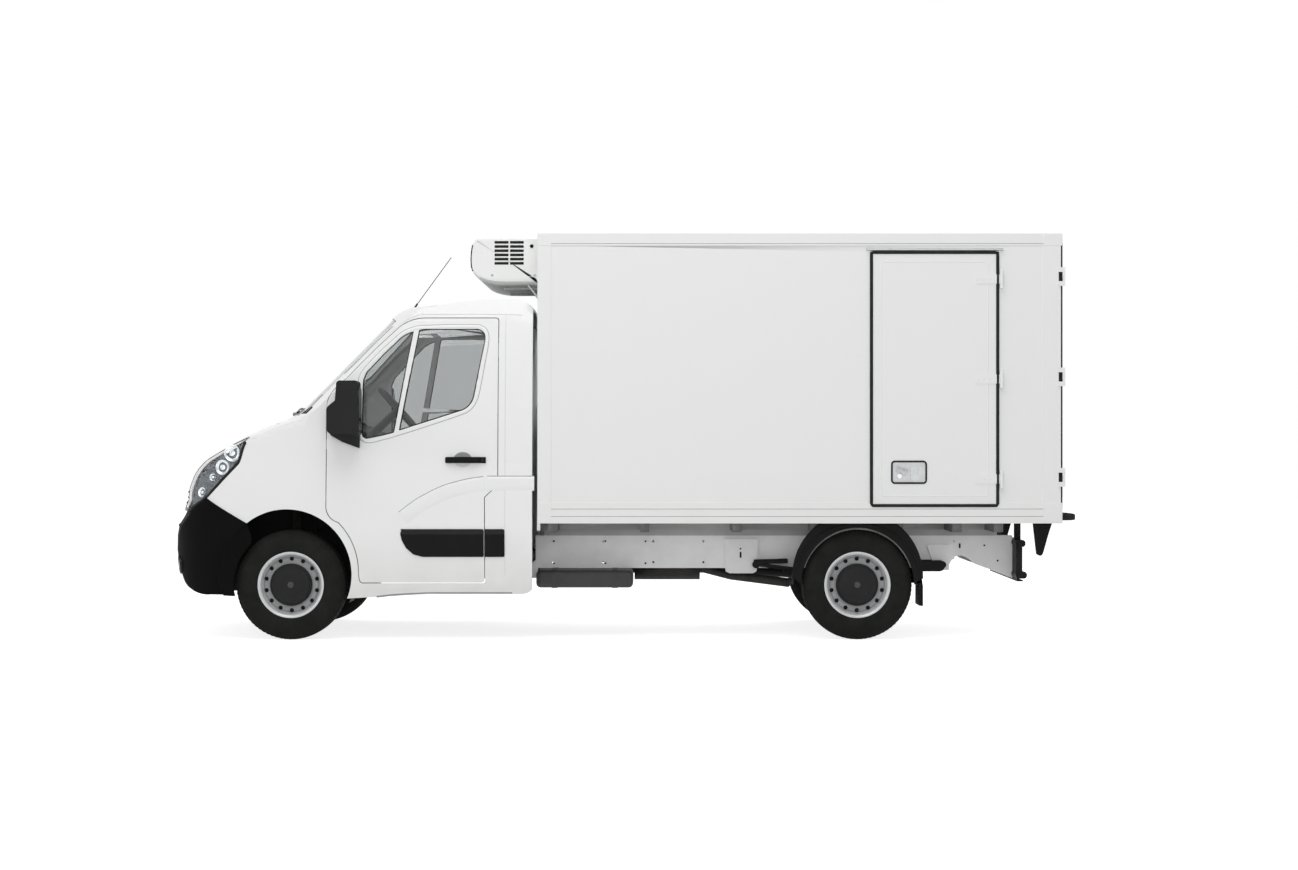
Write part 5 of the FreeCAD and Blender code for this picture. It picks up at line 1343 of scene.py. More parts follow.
@dataclass
class CoolingUnit:
  """The refrigeration unit: moulded cover, front louvres, banks of side slots, stays and brackets."""

  slot_rows: int = 6
  slot_tall_mm: float = 17.5
  slot_pitch_mm: float = 27.6
  columns_mm: tuple[tuple[float, float], ...] = ((-1311.5, 92), (-1413.5, 90))

  def cover(self, node: str) -> None:
    """The moulded cover: its side profile carried across, with soft side edges.

    Ring t of the side edge lies at the profile moved inwards by r (1 - cos t), at half the width
    less r (1 - sin t); r is larger along the cover's foot.
    """
    low, high = spot(node, (-1, -1, -1)), spot(node, (1, 1, 1))
    back, front, foot, top, half = low[0], high[0], low[2] + 0.060, high[2], high[1]
    bow = curve_through([(front - 0.240, foot), (front - 0.174, foot + 0.003), (front - 0.108, foot + 0.016),
        (front - 0.056, foot + 0.038), (front - 0.027, foot + 0.066), (front - 0.012, foot + 0.090),
        (front - 0.003, foot + 0.120), (front, foot + 0.170), (front - 0.004, top - 0.080),
        (front - 0.010, top - 0.045), (front - 0.021, top - 0.020), (front - 0.040, top)], 6)
    profile = np.concatenate([[(back, foot)], np.stack([np.linspace(back, front - 0.25, 10)[1:], np.full(9, foot)],
        -1), bow, [(back, top)]])
    ahead, behind = np.roll(profile, -1, 0) - profile, profile - np.roll(profile, 1, 0)
    normal = np.stack([-(ahead + behind)[:, 1], (ahead + behind)[:, 0]], -1)
    normal /= np.linalg.norm(normal, axis=1)[:, None]
    radius = np.interp(profile[:, 1], [foot, foot + 0.09], [0.040, 0.012])
    radius[[0, -1]] = 0.002
    turn = np.linspace(0, np.pi / 2, 7)
    inward = profile + normal * (radius * (1 - np.cos(turn))[:, None])[..., None]
    reach = half - radius * (1 - np.sin(turn))[:, None]
    near = np.stack([inward[..., 0], reach, inward[..., 1]], -1)
    core = np.array([(back + front) / 2, half, (foot + top) / 2 + 0.02])
    shares = np.array([0.85, 0.5, 0.2, 0.02])[:, None, None]
    near = np.concatenate([near, core + (near[-1] - core) * shares])
    rings = np.concatenate([near[::-1], near * [1, -1, 1]])
    cover = Surface().grid(rings, wrap_columns=True, caps=True).piece("cooler_cover", MOULDED_WHITE, replaces=(node,))
    faces = cover.data.polygons
    faces.foreach_set("use_smooth", np.abs(read(faces, "normal")[:, 1]) < 0.9999)
    # Painted shade: faces that look down take a greyer white.
    two_tone(cover, UNDERSIDE_SHADE_WHITE, lambda centres, normals: normals[:, 2] < -0.55)

  def build(self) -> None:
    """Make the cover and everything on it."""
    node = "refrigeration_unit"
    self.cover(node)
    top = spot(node, (0, 0, 1))[2]
    for name, side in SIDES.items():
      face_y = spot(node, (0, int(side), 0))[1]
      for column, (start, long) in enumerate(self.columns_mm):
        for row in range(self.slot_rows):
          flat = rounded(long * MM, self.slot_tall_mm * MM, 0.003) + [from_axle((start - long / 2, 0, 0))[0],
              top - 0.008 - (row + 0.5) * self.slot_pitch_mm * MM]
          Surface().prism(flat, face_y - side * 0.002, face_y + side * 0.0012, Axis.Y).piece(
              f"cooler_slot_{name}_{column}_{row}", GLOSS_BLACK)
      self.side_ribs(name, side, face_y, top)
    self.louvres(node, top)
    self.stays(node)

  def side_ribs(self, name: str, side: float, face_y: float, top: float) -> None:
    """The cover's parting line, a cable gland and two screws."""
    low = spot("refrigeration_unit", (0, 0, -1))[2]
    back = spot("refrigeration_unit", (-1, 0, 0))[0]
    seam = np.stack([np.linspace(back + 0.004, back + 0.440, 30), np.full(30, face_y), np.full(30, low + 0.112)], -1)
    seam[-9:, 2] += 0.05 * np.linspace(0, 1, 9) ** 2
    lay_strip(seam, bead(0.004, 0.001), (0, side, 0), f"cooler_seam_{name}", MOULDED_WHITE)
    gland = np.array([back + 0.050, face_y, top - 0.047])
    Surface().lathe([(0.012, -0.001), (0.012, side * 0.004), (0.008, side * 0.006), (0.0, side * 0.006)], gland,
        Axis.Y, 24).piece(f"cooler_gland_{name}", BLACK_PLASTIC)
    for offset in (0.03, 0.31):
      Surface().bolt((back + offset, face_y, low + 0.120), Axis.Y, side, 0.010, 0.003).piece(
          f"cooler_screw_{name}_{round(offset * 100)}", ZINC)

  def louvres(self, node: str, top: float) -> None:
    """A black grating bowed over the unit's front, with its blades across."""
    front, half = spot(node, (1, 0, 0))[0], spot(node, (0, 1, 0))[1]
    foot = spot(node, (0, 0, -1))[2]
    rise = np.linspace(foot + 0.150, top - 0.040, 26)
    bow = np.interp(rise, [foot + 0.150, foot + 0.180, foot + 0.225, foot + 0.280, top - 0.045, top - 0.018],
        front - np.array([0.0115, 0.0025, 0.0, 0.0035, 0.0095, 0.022]))
    across = np.array([-half + 0.001, half - 0.001])
    sheet = np.stack([np.broadcast_to(bow[:, None], (26, 2)), np.broadcast_to(across, (26, 2)),
        np.broadcast_to(rise[:, None], (26, 2))], -1)
    back = sheet - [0.016, 0, 0]
    ring = np.concatenate([sheet[:, 0], back[::-1, 0]]), np.concatenate([sheet[:, 1], back[::-1, 1]])
    Surface().grid(np.stack(ring), wrap_columns=True, caps=True).piece("cooler_grating", BLACK_PLASTIC)
    for number, z in enumerate(np.linspace(rise[1], rise[-2], 9)):
      x = np.interp(z, rise, bow) - 0.002
      lay_strip(np.array([[x, -half + 0.004, z], [x, half - 0.004, z]]), bead(0.012, 0.003, 0.003), (1, 0, 0),
          f"cooler_blade_{number}", BLACK_PLASTIC)

  def stays(self, node: str) -> None:
    """The stays and brackets from the unit's underside to the box's front wall."""
    low = spot(node, (-1, 1, -1))
    stays = Surface()
    for side in SIDES.values():
      at = low * [1, side, 1] + [0, 0, 0.058]
      stays.bar(at + [0.078, -side * 0.060, 0.006], at + [-0.002, -side * 0.060, -0.100], 0.008, 12)
    stays.piece("cooler_stays", ALU)
    Surface().block(low + [0.0, -0.40, 0.044], low + [0.250, -0.36, 0.062]).block(low + [0.0, -1.14, 0.044],
        low + [0.250, -1.10, 0.062]).piece("cooler_brackets", ZINC, bevel=0.002)


@dataclass
class InsulatedBox:
  """The insulated body: panels, edge rails, corner caps, seals, locks, hinges, lamps and drip rails."""

  rail_tall_mm: float = 132.0
  top_rail_mm: float = 76.0
  post_mm: float = 87.0
  side_door_wide: float = 0.795
  hinge_shares: tuple[float, ...] = (0.12, 0.5, 0.88)

  def __post_init__(self) -> None:
    """Note the box's outer corners, the hinge knuckles left out."""
    inner, roof = spot("rear_door_left", (1, 0, 0)), spot("box_body", (0, 0, 1))
    self.front = spot("box_body", (1, 0, 0))[0]
    self.back = inner[0] - 0.060
    self.low = spot("box_body", (0, 0, -1))[2]
    self.top = roof[2]
    self.half = 1.050

  def build(self) -> None:
    """Make everything on the box."""
    dress_node(GELCOAT, "side_door")
    for node, body in (("box_body", "root"), ("rear_door_left", "rear_door_left"),
        ("rear_door_right", "rear_door_right")):
      self.flat_hinges(recast(node, GELCOAT, body, smooth=4))
    for name, side in SIDES.items():
      self.rails(name, side)
    self.corner_caps()
    self.edge_seals()
    self.side_door()
    self.rear_doors()
    self.rear_lamps()

  def flat_hinges(self, thing: Thing) -> None:
    """Press the rear hinges flatter: nothing of the piece stands more than 14 mm behind the doors' faces."""
    places = read(thing.data.vertices, "co")
    places[:, 0] = np.maximum(places[:, 0], self.back - 0.014)
    thing.data.vertices.foreach_set("co", places.reshape(-1))
    thing.data.update()

  def rails(self, name: str, side: float) -> None:
    """The pressed lines along the rails, a shadow under each, and the sealant beads round the sheet."""
    y, sheet, out = side * self.half, side * (self.half - 0.006), (0, side, 0)
    for part, z, tall, proud in (("low", self.low + 0.050, 0.007, 0.0025), ("mid", self.low + 0.098, 0.007, 0.0025),
        ("high", self.top - 0.060, 0.006, 0.002)):
      path = np.array([[self.back + 0.004, y, z], [self.front - 0.004, y, z]])
      lay_strip(path, bead(tall, proud), out, f"rail_line_{part}_{name}", GELCOAT)
      lay_strip(path - [0, 0, tall / 2 + 0.001], bead(0.004, 0.0006), out, f"rail_shade_{part}_{name}", SEAM_GREY)
    low, high = self.low + self.rail_tall_mm * MM, self.top - self.top_rail_mm * MM
    front, rear = self.front - self.post_mm * MM - 0.002, self.back + 0.125
    near, far = self.front - 0.088, self.back + 0.124
    for part, start, end in (("post_bead_front", (front, low), (front, high)),
        ("post_bead_rear", (rear, low), (rear, high)), ("rail_bead_low", (far, low + 0.002), (near, low + 0.002)),
        ("rail_bead_high", (far, high - 0.002), (near, high - 0.002))):
      path = np.insert([start, end], 1, sheet, axis=1)
      lay_strip(path, bead(0.006, 0.003), out, f"{part}_{name}", MOULDED_WHITE, slot="rubber")

  def corner_caps(self) -> None:
    """Moulded caps at the four upper and four lower corners."""
    for end, x, long in (("front", self.front + 0.0005, -0.089), ("rear", self.back, 0.125)):
      for name, side in SIDES.items():
        for level, z, tall in (("top", self.top - 0.0015, -0.078), ("foot", self.low + 0.001, 0.134)):
          Surface().block((x, side * (self.half - 0.06), z), (x + long, side * (self.half + 0.002), z + tall)).piece(
              f"corner_cap_{level}_{end}_{name}", GELCOAT, bevel=0.004)

  def edge_seals(self) -> None:
    """The dark joint down both rear corners, with a dark mark beside each hinge."""
    low, high = spot("rear_door_left", (-1, 0, -1))[2], spot("rear_door_left", (-1, 0, 1))[2]
    for name, side in SIDES.items():
      joint = Surface().block((self.back - 0.0005, side * (self.half - 0.040), low),
          (self.back + 0.010, side * (self.half + 0.0006), high + 0.012))
      for share in self.hinge_shares:
        z = low + share * (high - low)
        joint.block((self.back + 0.008, side * (self.half - 0.004), z - 0.045),
            (self.back + 0.024, side * (self.half + 0.0012), z + 0.045))
      joint.piece(f"edge_joint_{name}", SEAL_RUBBER, bevel=0.0005)

  def side_door(self) -> None:
    """The side door's rubber frame, pressed inner line, drip rail, lock and hinge screws."""
    low, high = spot("side_door", (1, 1, -1))[2], spot("side_door", (1, 1, 1))[2]
    right, face = spot("side_door", (1, 1, 1))[0], self.half
    left = right - self.side_door_wide
    middle = [(left + right) / 2, (high + low) / 2]
    seal = rounded(self.side_door_wide + 0.022, high - low + 0.022, 0.004) + middle
    self.wall_frame("side_door_seal", seal, face - 0.004, 0.020, 0.0135, SEAL_RUBBER, "root")
    press = rounded(self.side_door_wide - 0.105, high - low - 0.10, 0.02) + middle
    self.wall_frame("side_door_press", press, face - 0.0005, 0.008, 0.003, GELCOAT, "side_door")
    drip = [(left - 0.045, face - 0.004, high + 0.030), (right + 0.045, face - 0.004, high + 0.030)]
    lay_strip(drip, bead(0.016, 0.020), (0, 1, 0), "side_door_drip_rail", ALU, slot="white_paint")
    self.lock("side", (right - 0.232, face, low + 0.205), "side_door")
    heads = Surface()
    for share in (0.1, 0.5, 0.9):
      for x in (left + 0.040, left + 0.080, left + 0.118):
        heads.lathe([(0.007, 0.0), (0.006, 0.002), (0.0, 0.003)], (x, face + 0.0063, low + share * (high - low)),
            Axis.Y, 14)
    heads.piece("side_hinge_screws", GELCOAT, "side_door")

  def wall_frame(self, name: str, outline: Array, y: float, wide: float, proud: float, finish: Finish,
      body: str) -> None:
    """A closed bead that follows a side-view outline on a flat wall."""
    path = np.insert(outline, 1, y, axis=1)
    path, _ = even(path, np.tile([0, 1.0, 0], (len(path), 1)), 0.02)
    lay_strip(path, bead(wide, proud), (0, 1, 0), name, finish, body, closed=True)

  def lock(self, name: str, at: Triple, body: str) -> None:
    """A recessed lock: dark rounded frame, light dish, paddle handle and key plate."""
    x, y, z = at
    ring = np.insert(rounded(0.222, 0.140, 0.020, 8) + [x, z], 1, y, axis=1)
    lay_strip(ring, bead(0.012, 0.006), (0, 1, 0), f"{name}_lock_frame", SEAL_RUBBER, body, closed=True)
    Surface().prism(rounded(0.205, 0.124, 0.016) + [x, z], y - 0.003, y + 0.0012, Axis.Y).piece(f"{name}_lock_dish",
        ALU, body, bevel=0.001)
    Surface().prism(rounded(0.078, 0.090, 0.008) + [x - 0.048, z - 0.004], y + 0.001, y + 0.0045, Axis.Y).piece(
        f"{name}_lock_plate", STAINLESS, body, bevel=0.001)
    grip = np.array([[x + 0.078, y + 0.008, z + 0.022], [x + 0.050, y + 0.013, z + 0.012],
        [x + 0.012, y + 0.013, z - 0.004]])
    lay_strip(grip, rounded(0.034, 0.008, 0.0035), (0, 1, 0), f"{name}_lock_paddle", ZINC, body)
    Surface().lathe([(0.017, 0.0), (0.017, 0.012), (0.014, 0.015), (0.0, 0.0155)], (x + 0.060, y, z - 0.024), Axis.Y,
        28).piece(f"{name}_lock_barrel", CHROME, body)

  def rear_doors(self) -> None:
    """Rubber seals, two full-height locking bars, handles, hinge screws and keepers on the rear leaves."""
    for name, side in SIDES.items():
      node = f"rear_door_{name}"
      low, high = spot(node, (-1, -1, -1)), spot(node, (-1, 1, 1))
      inner, outer = side * 0.007, side * (self.half - 0.060 - 0.014)
      middle, wide = (inner + outer) / 2, abs(outer - inner)
      x = self.back
      path = rounded(wide - 0.012, high[2] - low[2] - 0.012, 0.010) + [middle, (low[2] + high[2]) / 2]
      path = np.insert(path, 0, x, axis=1)
      path, _ = even(path, np.tile([-1.0, 0, 0], (len(path), 1)), 0.02)
      lay_strip(path, bead(0.014, 0.007), (-1, 0, 0), f"rear_seal_{name}", SEAL_RUBBER, node, closed=True)
      bar_y = inner + side * 0.135
      Surface().bar((x - 0.020, bar_y, low[2] - 0.028), (x - 0.020, bar_y, high[2] + 0.028), 0.0105, 20).piece(
          f"lock_bar_{name}", STAINLESS, node, smooth=50)
      guides = Surface()
      for share in (0.015, 0.33, 0.66, 0.985):
        z = low[2] + share * (high[2] - low[2])
        guides.block((x + 0.001, bar_y - 0.032, z - 0.022), (x - 0.006, bar_y + 0.032, z + 0.022))
        guides.block((x - 0.006, bar_y - 0.015, z - 0.014), (x - 0.031, bar_y + 0.015, z + 0.014))
      guides.piece(f"lock_bar_guides_{name}", ZINC, node, bevel=0.002)
      z = low[2] + 0.42
      lever = [(x - 0.020, bar_y, z), (x - 0.030, bar_y + side * 0.10, z - 0.004),
          (x - 0.030, bar_y + side * 0.30, z - 0.010)]
      lay_strip(lever, rounded(0.028, 0.009, 0.004), (-1, 0, 0), f"lock_lever_{name}", STAINLESS, node)
      Surface().block((x + 0.001, bar_y + side * 0.255, z - 0.045),
          (x - 0.022, bar_y + side * 0.305, z + 0.020)).piece(f"lever_catch_{name}", ZINC, node, bevel=0.003)
      heads = Surface()
      for share in self.hinge_shares:
        level = low[2] + share * (high[2] - low[2])
        for step in (0.10, 0.135, 0.17):
          heads.lathe([(0.007, 0.0), (0.006, -0.002), (0.0, -0.003)],
              (x - 0.0063, outer + side * (0.054 - step), level), Axis.X, 14)
      heads.piece(f"rear_hinge_screws_{name}", ZINC, node)

  def rear_lamps(self) -> None:
    """Tail lamps set into the rear beam's channel, a number plate rest between them."""
    low, high = spot("rear_beam", (-1, -1, -1)), spot("rear_beam", (-1, 1, 1))
    x, z = low[0], low[2] + 0.1315
    for name, side in SIDES.items():
      middle = side * (high[1] - 0.180)
      Surface().prism(rounded(0.336, 0.150, 0.02) + [middle, z], x + 0.006, x + 0.034, Axis.X).piece(
          f"tail_lamp_case_{name}", BLACK_PLASTIC, bevel=0.003)
      for part, offset, wide, finish in (("stop", -0.09, 0.125, RED_LENS), ("turn", 0.035, 0.105, AMBER_LENS),
          ("reverse", 0.125, 0.055, LENS)):
        Surface().prism(rounded(wide, 0.126, 0.012) + [middle - side * offset, z], x + 0.001, x + 0.012,
            Axis.X).piece(f"tail_lamp_{part}_{name}", finish, bevel=0.004)
    Surface().prism(rounded(0.53, 0.125, 0.006) + [0, z], x + 0.002, x + 0.033, Axis.X).piece("plate_rest",
        MOULDED_WHITE, bevel=0.002)
    lip = Surface()
    for level, middle, wide in ((low[2] + 0.041, 0.010, 0.072), (low[2] + 0.250, 0.015, 0.062)):
      lip.prism(rounded(wide, 0.046, 0.020, 8) + [x + middle, level], low[1] + 0.002, high[1] - 0.002, Axis.Y)
    for side in SIDES.values():
      lip.block((x + 0.005, side * (high[1] - 0.012), low[2] + 0.035),
          (x + 0.046, side * (high[1] - 0.001), low[2] + 0.262))
    lip.piece("rear_beam_lips", DARK_STEEL, smooth=50)


@dataclass
class Chassis:
  """Frame, driveline and running gear with their fixings."""


  def build(self) -> None:
    """Dress the plain nodes and add spring leaves, bolts, straps, dampers and brake parts."""
    dress_node(FRAME_GREY, "frame_rails", "crossmembers", "spring_hangers")
    # Painted shade: the bearers under the box take a darker grey, and their outer ends nearly black.
    bearers = recast("subframe", BEARER_SHADE_GREY)
    reach = 0.470
    for side in SIDES.values():
      split_at(bearers, (0, side * reach, 0), (0, 1, 0))
    two_tone(bearers, BEARER_END_SHADE, lambda centres, normals: np.abs(centres[:, 1]) > reach)
    dress_node(DARK_STEEL, "rear_beam", "engine_block")
    dress_node(BLACK_PLASTIC, "arch_liners")
    self.rear_ends()
    for node in ("rear_axle", "front_suspension"):
      recast(node, CAST_DARK)
    recast("exhaust", EXHAUST)
    recast("fuel_tank", TANK_PLASTIC)
    for name in SIDES:
      recast(f"knuckle_{name}", CAST_DARK, f"steering_{name}")
    for name, side in SIDES.items():
      self.springs(name, side)
      self.rail_holes(name, side)
      self.damper(name, side)
      self.guard(name, side)
    self.tank_straps()
    self.underbody()

  def rear_ends(self) -> None:
    """The tapered rubber buffers and the tapered plates with rounded feet at the box's rear corners."""
    low, high = spot("rear_buffers", (-1, 1, -1)), spot("rear_buffers", (1, 1, 1))
    ends = curve_through([(high[0], high[2]), (low[0] + 0.012, high[2] - 0.007), (low[0], high[2] - 0.020),
        (low[0], low[2] + 0.018), (low[0] + 0.010, low[2] + 0.003), (high[0], low[2])], 4)
    ends[:, 0] = np.maximum(ends[:, 0], low[0])
    buffers = Surface()
    for side in SIDES.values():
      buffers.prism(ends, side * (high[1] - 0.110), side * high[1], Axis.Y)
    thing = buffers.piece("buffer_blocks", SEAL_RUBBER, bevel=0.006, smooth=50)
    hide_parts("rear_buffers")
    low, high = spot("rear_brackets", (-1, 1, -1)), spot("rear_brackets", (1, 1, 1))
    tail = curve_through([(low[0], high[2]), (low[0] + 0.027, low[2] + 0.130), (low[0] + 0.055, low[2] + 0.030),
        (low[0] + 0.066, low[2] + 0.006), (low[0] + 0.080, low[2]), (high[0] - 0.025, low[2] + 0.010),
        (high[0] - 0.020, low[2] + 0.036), (high[0], high[2])], 4)
    plates = Surface()
    for side in SIDES.values():
      plates.prism(tail, side * (high[1] - 0.060), side * high[1], Axis.Y)
    thing = plates.piece("bracket_plates", BLACK_PLASTIC, bevel=0.003, smooth=50)
    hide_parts("rear_brackets")

  def springs(self, name: str, side: float) -> None:
    """Two more leaves under the main leaf, and U-bolts over the axle."""
    high = spot("leaf_springs", (0, int(side), 0))[1]
    middle_y = high - side * 0.0325
    axle = spot("rear_axle", (0, 0, 0))
    low = spot("leaf_springs", (0, 0, -1))[2]
    leaves = Surface()
    for number, reach in enumerate((0.46, 0.30)):
      run = np.linspace(-reach, reach, 24)
      path = np.stack([axle[0] + run, np.full(24, middle_y), low - 0.004 - number * 0.009 + 0.105 * run ** 2], -1)
      leaves.sweep(path, rounded(0.062, 0.0085, 0.002), (0, 0, 1))
    leaves.piece(f"spring_leaves_{name}", DARK_STEEL)
    bolts = Surface()
    for x in (-0.062, 0.062):
      for across in (-0.042, 0.042):
        at = np.array([axle[0] + x, middle_y + across, low - 0.070])
        bolts.bar(at, at + [0, 0, 0.115], 0.007, 12)
    bolts.block((axle[0] - 0.08, middle_y - 0.055, low + 0.026), (axle[0] + 0.08, middle_y + 0.055, low + 0.040))
    bolts.piece(f"u_bolts_{name}", DARK_STEEL, bevel=0.0015)
    dress_node(DARK_STEEL, "leaf_springs")
    self.shackles(name, side, middle_y)

  def shackles(self, name: str, side: float, middle_y: float) -> None:
    """The bushed plates at the rear spring eye, and the stop above the front half of the spring."""
    low, high = spot("leaf_springs", (-1, 0, 0)), spot("leaf_springs", (1, 0, 0))
    plates = Surface()
    flat = rounded(0.200, 0.075, 0.036, 8) + [low[0] + 0.110, low[2] + 0.012]
    for offset in (-0.045, 0.036):
      y = middle_y + side * offset
      plates.prism(flat, y, y + side * 0.009, Axis.Y)
    run = np.linspace(-0.235, -0.010, 12)
    helper = np.stack([high[0] + run, np.full(12, middle_y), low[2] + 0.044 - 0.033 * (run + 0.235)], -1)
    plates.sweep(helper, rounded(0.060, 0.030, 0.006), (0, 0, 1))
    plates.piece(f"spring_shackles_{name}", DARK_STEEL, bevel=0.002)

  def rail_holes(self, name: str, side: float) -> None:
    """The small holes and slots in the rails' webs and hanger plates, as dark plugs a hair proud: painted shade for
    the dark inside of each hole.
    """
    web = spot("frame_rails", (0, int(side), 0))[1]
    plugs = Surface()
    holes = [(x, z) for x in (-1692, -2036, -2304) for z in (621, 474)] + [(-4569, 593), (-4659, 491)]
    for x, z in holes:
      at = from_axle((x, 0, z)) * [1, 0, 1] + [0, web, 0]
      plugs.lathe([(0.0065, -0.003), (0.0065, 0.0008 * side), (0.0, 0.0010 * side)], at, Axis.Y, 16)
    plate = spot("spring_hangers", (0, int(side), 0))[1]
    for x, z, tall, face in ((-4405, 591, 0.034, web), (-2939, 531, 0.042, plate), (-2938, 572, 0.012, plate)):
      slot = rounded(0.012, tall, 0.0059) + from_axle((x, 0, z))[[0, 2]]
      plugs.prism(slot, face - side * 0.003, face + side * 0.0008, Axis.Y)
    plugs.piece(f"rail_holes_{name}", DARK_STEEL, smooth=30)

  def damper(self, name: str, side: float) -> None:
    """A rear damper from the axle up to the rail."""
    axle = spot("rear_axle", (0, 0, 0))
    foot = axle + [-0.070, side * 0.430, -0.020]
    head = axle + [-0.260, side * 0.380, 0.245]
    reach = head - foot
    Surface().bar(foot, foot + reach * 0.55, 0.029, 24).bar(foot, head, 0.010, 16).bar(foot + reach * 0.45,
        foot + reach * 0.95, 0.033, 24).piece(f"damper_{name}", DARK_STEEL)

  def guard(self, name: str, side: float) -> None:
    """The rear mudguard's inner wall, its rolled edge and its hanging flap's ribs.

    The wall lies between an arc just outside the tyre and the guard's own arc.
    """
    dress_node(BLACK_PLASTIC, "rear_mudguards")
    low, high = spot("rear_mudguards", (-1, int(side), -1)), spot("rear_mudguards", (1, int(side), 1))
    axle = spot("rear_axle", (0, 0, 0))
    turn = np.linspace(0.0, math.pi, 61)
    arc = circle(turn)
    outer = arc * [0.420, high[2] - axle[2] - 0.002]
    inner = arc[::-1] * [0.352, 0.345]
    Surface().prism(np.concatenate([outer, inner]) + axle[[0, 2]], side * 0.733, side * 0.737, Axis.Y).piece(
        f"guard_wall_{name}", BLACK_PLASTIC, smooth=50)
    cheek = arc * 0.425 + [0, 0.058]
    cheek[:, 1] = np.minimum(cheek[:, 1], spot("box_body", (0, 0, -1))[2] - axle[2] - 0.002)
    ring = np.concatenate([cheek, arc[::-1] * [0.366, 0.372]])
    Surface().prism(ring + axle[[0, 2]], high[1] - side * 0.008, high[1] - side * 0.001, Axis.Y).piece(
        f"guard_cheek_{name}", BLACK_PLASTIC, bevel=0.002, smooth=50)
    # Painted highlight: a pale arc just outside the tyre, for the light along its shoulder.
    highlight_arc = arc[6:-6]
    Surface().prism(np.concatenate([highlight_arc * 0.3725, highlight_arc[::-1] * 0.3595]) + axle[[0, 2]], high[1] - side * 0.014,
        high[1] - side * 0.010, Axis.Y).piece(f"guard_dust_{name}", TYRE_SHOULDER_HIGHLIGHT, smooth=50)
    bent = arc[2:-2] * [0.4205, high[2] - axle[2]] + axle[[0, 2]]
    edge = np.insert(bent, 1, high[1], axis=1)
    lay_strip(edge, rounded(0.016, 0.012, 0.005), (0, 1, 0), f"guard_edge_{name}", BLACK_PLASTIC)
    ribs = Surface()
    for step in np.linspace(0.02, 0.22, 6):
      ribs.sweep(np.array([[low[0], high[1] - side * step, low[2] + 0.004],
          [low[0], high[1] - side * step, axle[2]]]), bead(0.012, 0.004), (-1, 0, 0))
    ribs.piece(f"flap_ribs_{name}", BLACK_PLASTIC, smooth=50)
    thick = Surface().block((low[0] + 0.006, high[1] - side * 0.236, low[2] + 0.002),
        (low[0] + 0.026, high[1] - side * 0.002, low[2] + 0.150))
    thick.piece(f"flap_weight_{name}", BLACK_PLASTIC, bevel=0.006)

  def tank_straps(self) -> None:
    """Two steel straps round the tank."""
    low, high = spot("fuel_tank", (-1, -1, -1)), spot("fuel_tank", (1, 1, 1))
    middle_y, middle_z = (low[1] + high[1]) / 2, (low[2] + high[2]) / 2
    straps = Surface()
    for x in (low[0] + 0.12, high[0] - 0.12):
      ring = rounded(high[1] - low[1] + 0.004, high[2] - low[2] + 0.003, 0.032, 8) + [middle_y, middle_z]
      path = np.insert(ring, 0, x, axis=1)
      straps.sweep(path, rounded(0.038, 0.003, 0.001), path - [x, middle_y, middle_z], closed=True)
    straps.piece("tank_straps", TANK_PLASTIC)

  def underbody(self) -> None:
    """The shaft from the gearbox to the axle, and the brake backplates."""
    axle = spot("rear_axle", (0, 0, 0))
    front = spot("engine_block", (-1, 0, -1))
    Surface().bar(axle + [0.13, 0, 0.01], front + [-0.05, 0, 0.14], 0.036, 24).bar(axle + [0.12, 0, 0.01],
        axle + [0.22, 0, 0.015], 0.055, 24).piece("driveshaft", DARK_STEEL)
    plates = Surface()
    for side in SIDES.values():
      at = (axle[0], side * (spot("rear_axle", (0, 1, 0))[1] - 0.078), axle[2])
      plates.lathe([(0.15, -0.006), (0.15, 0.006)], at, Axis.Y, 48)
    plates.piece("brake_backplates", CAST_DARK)


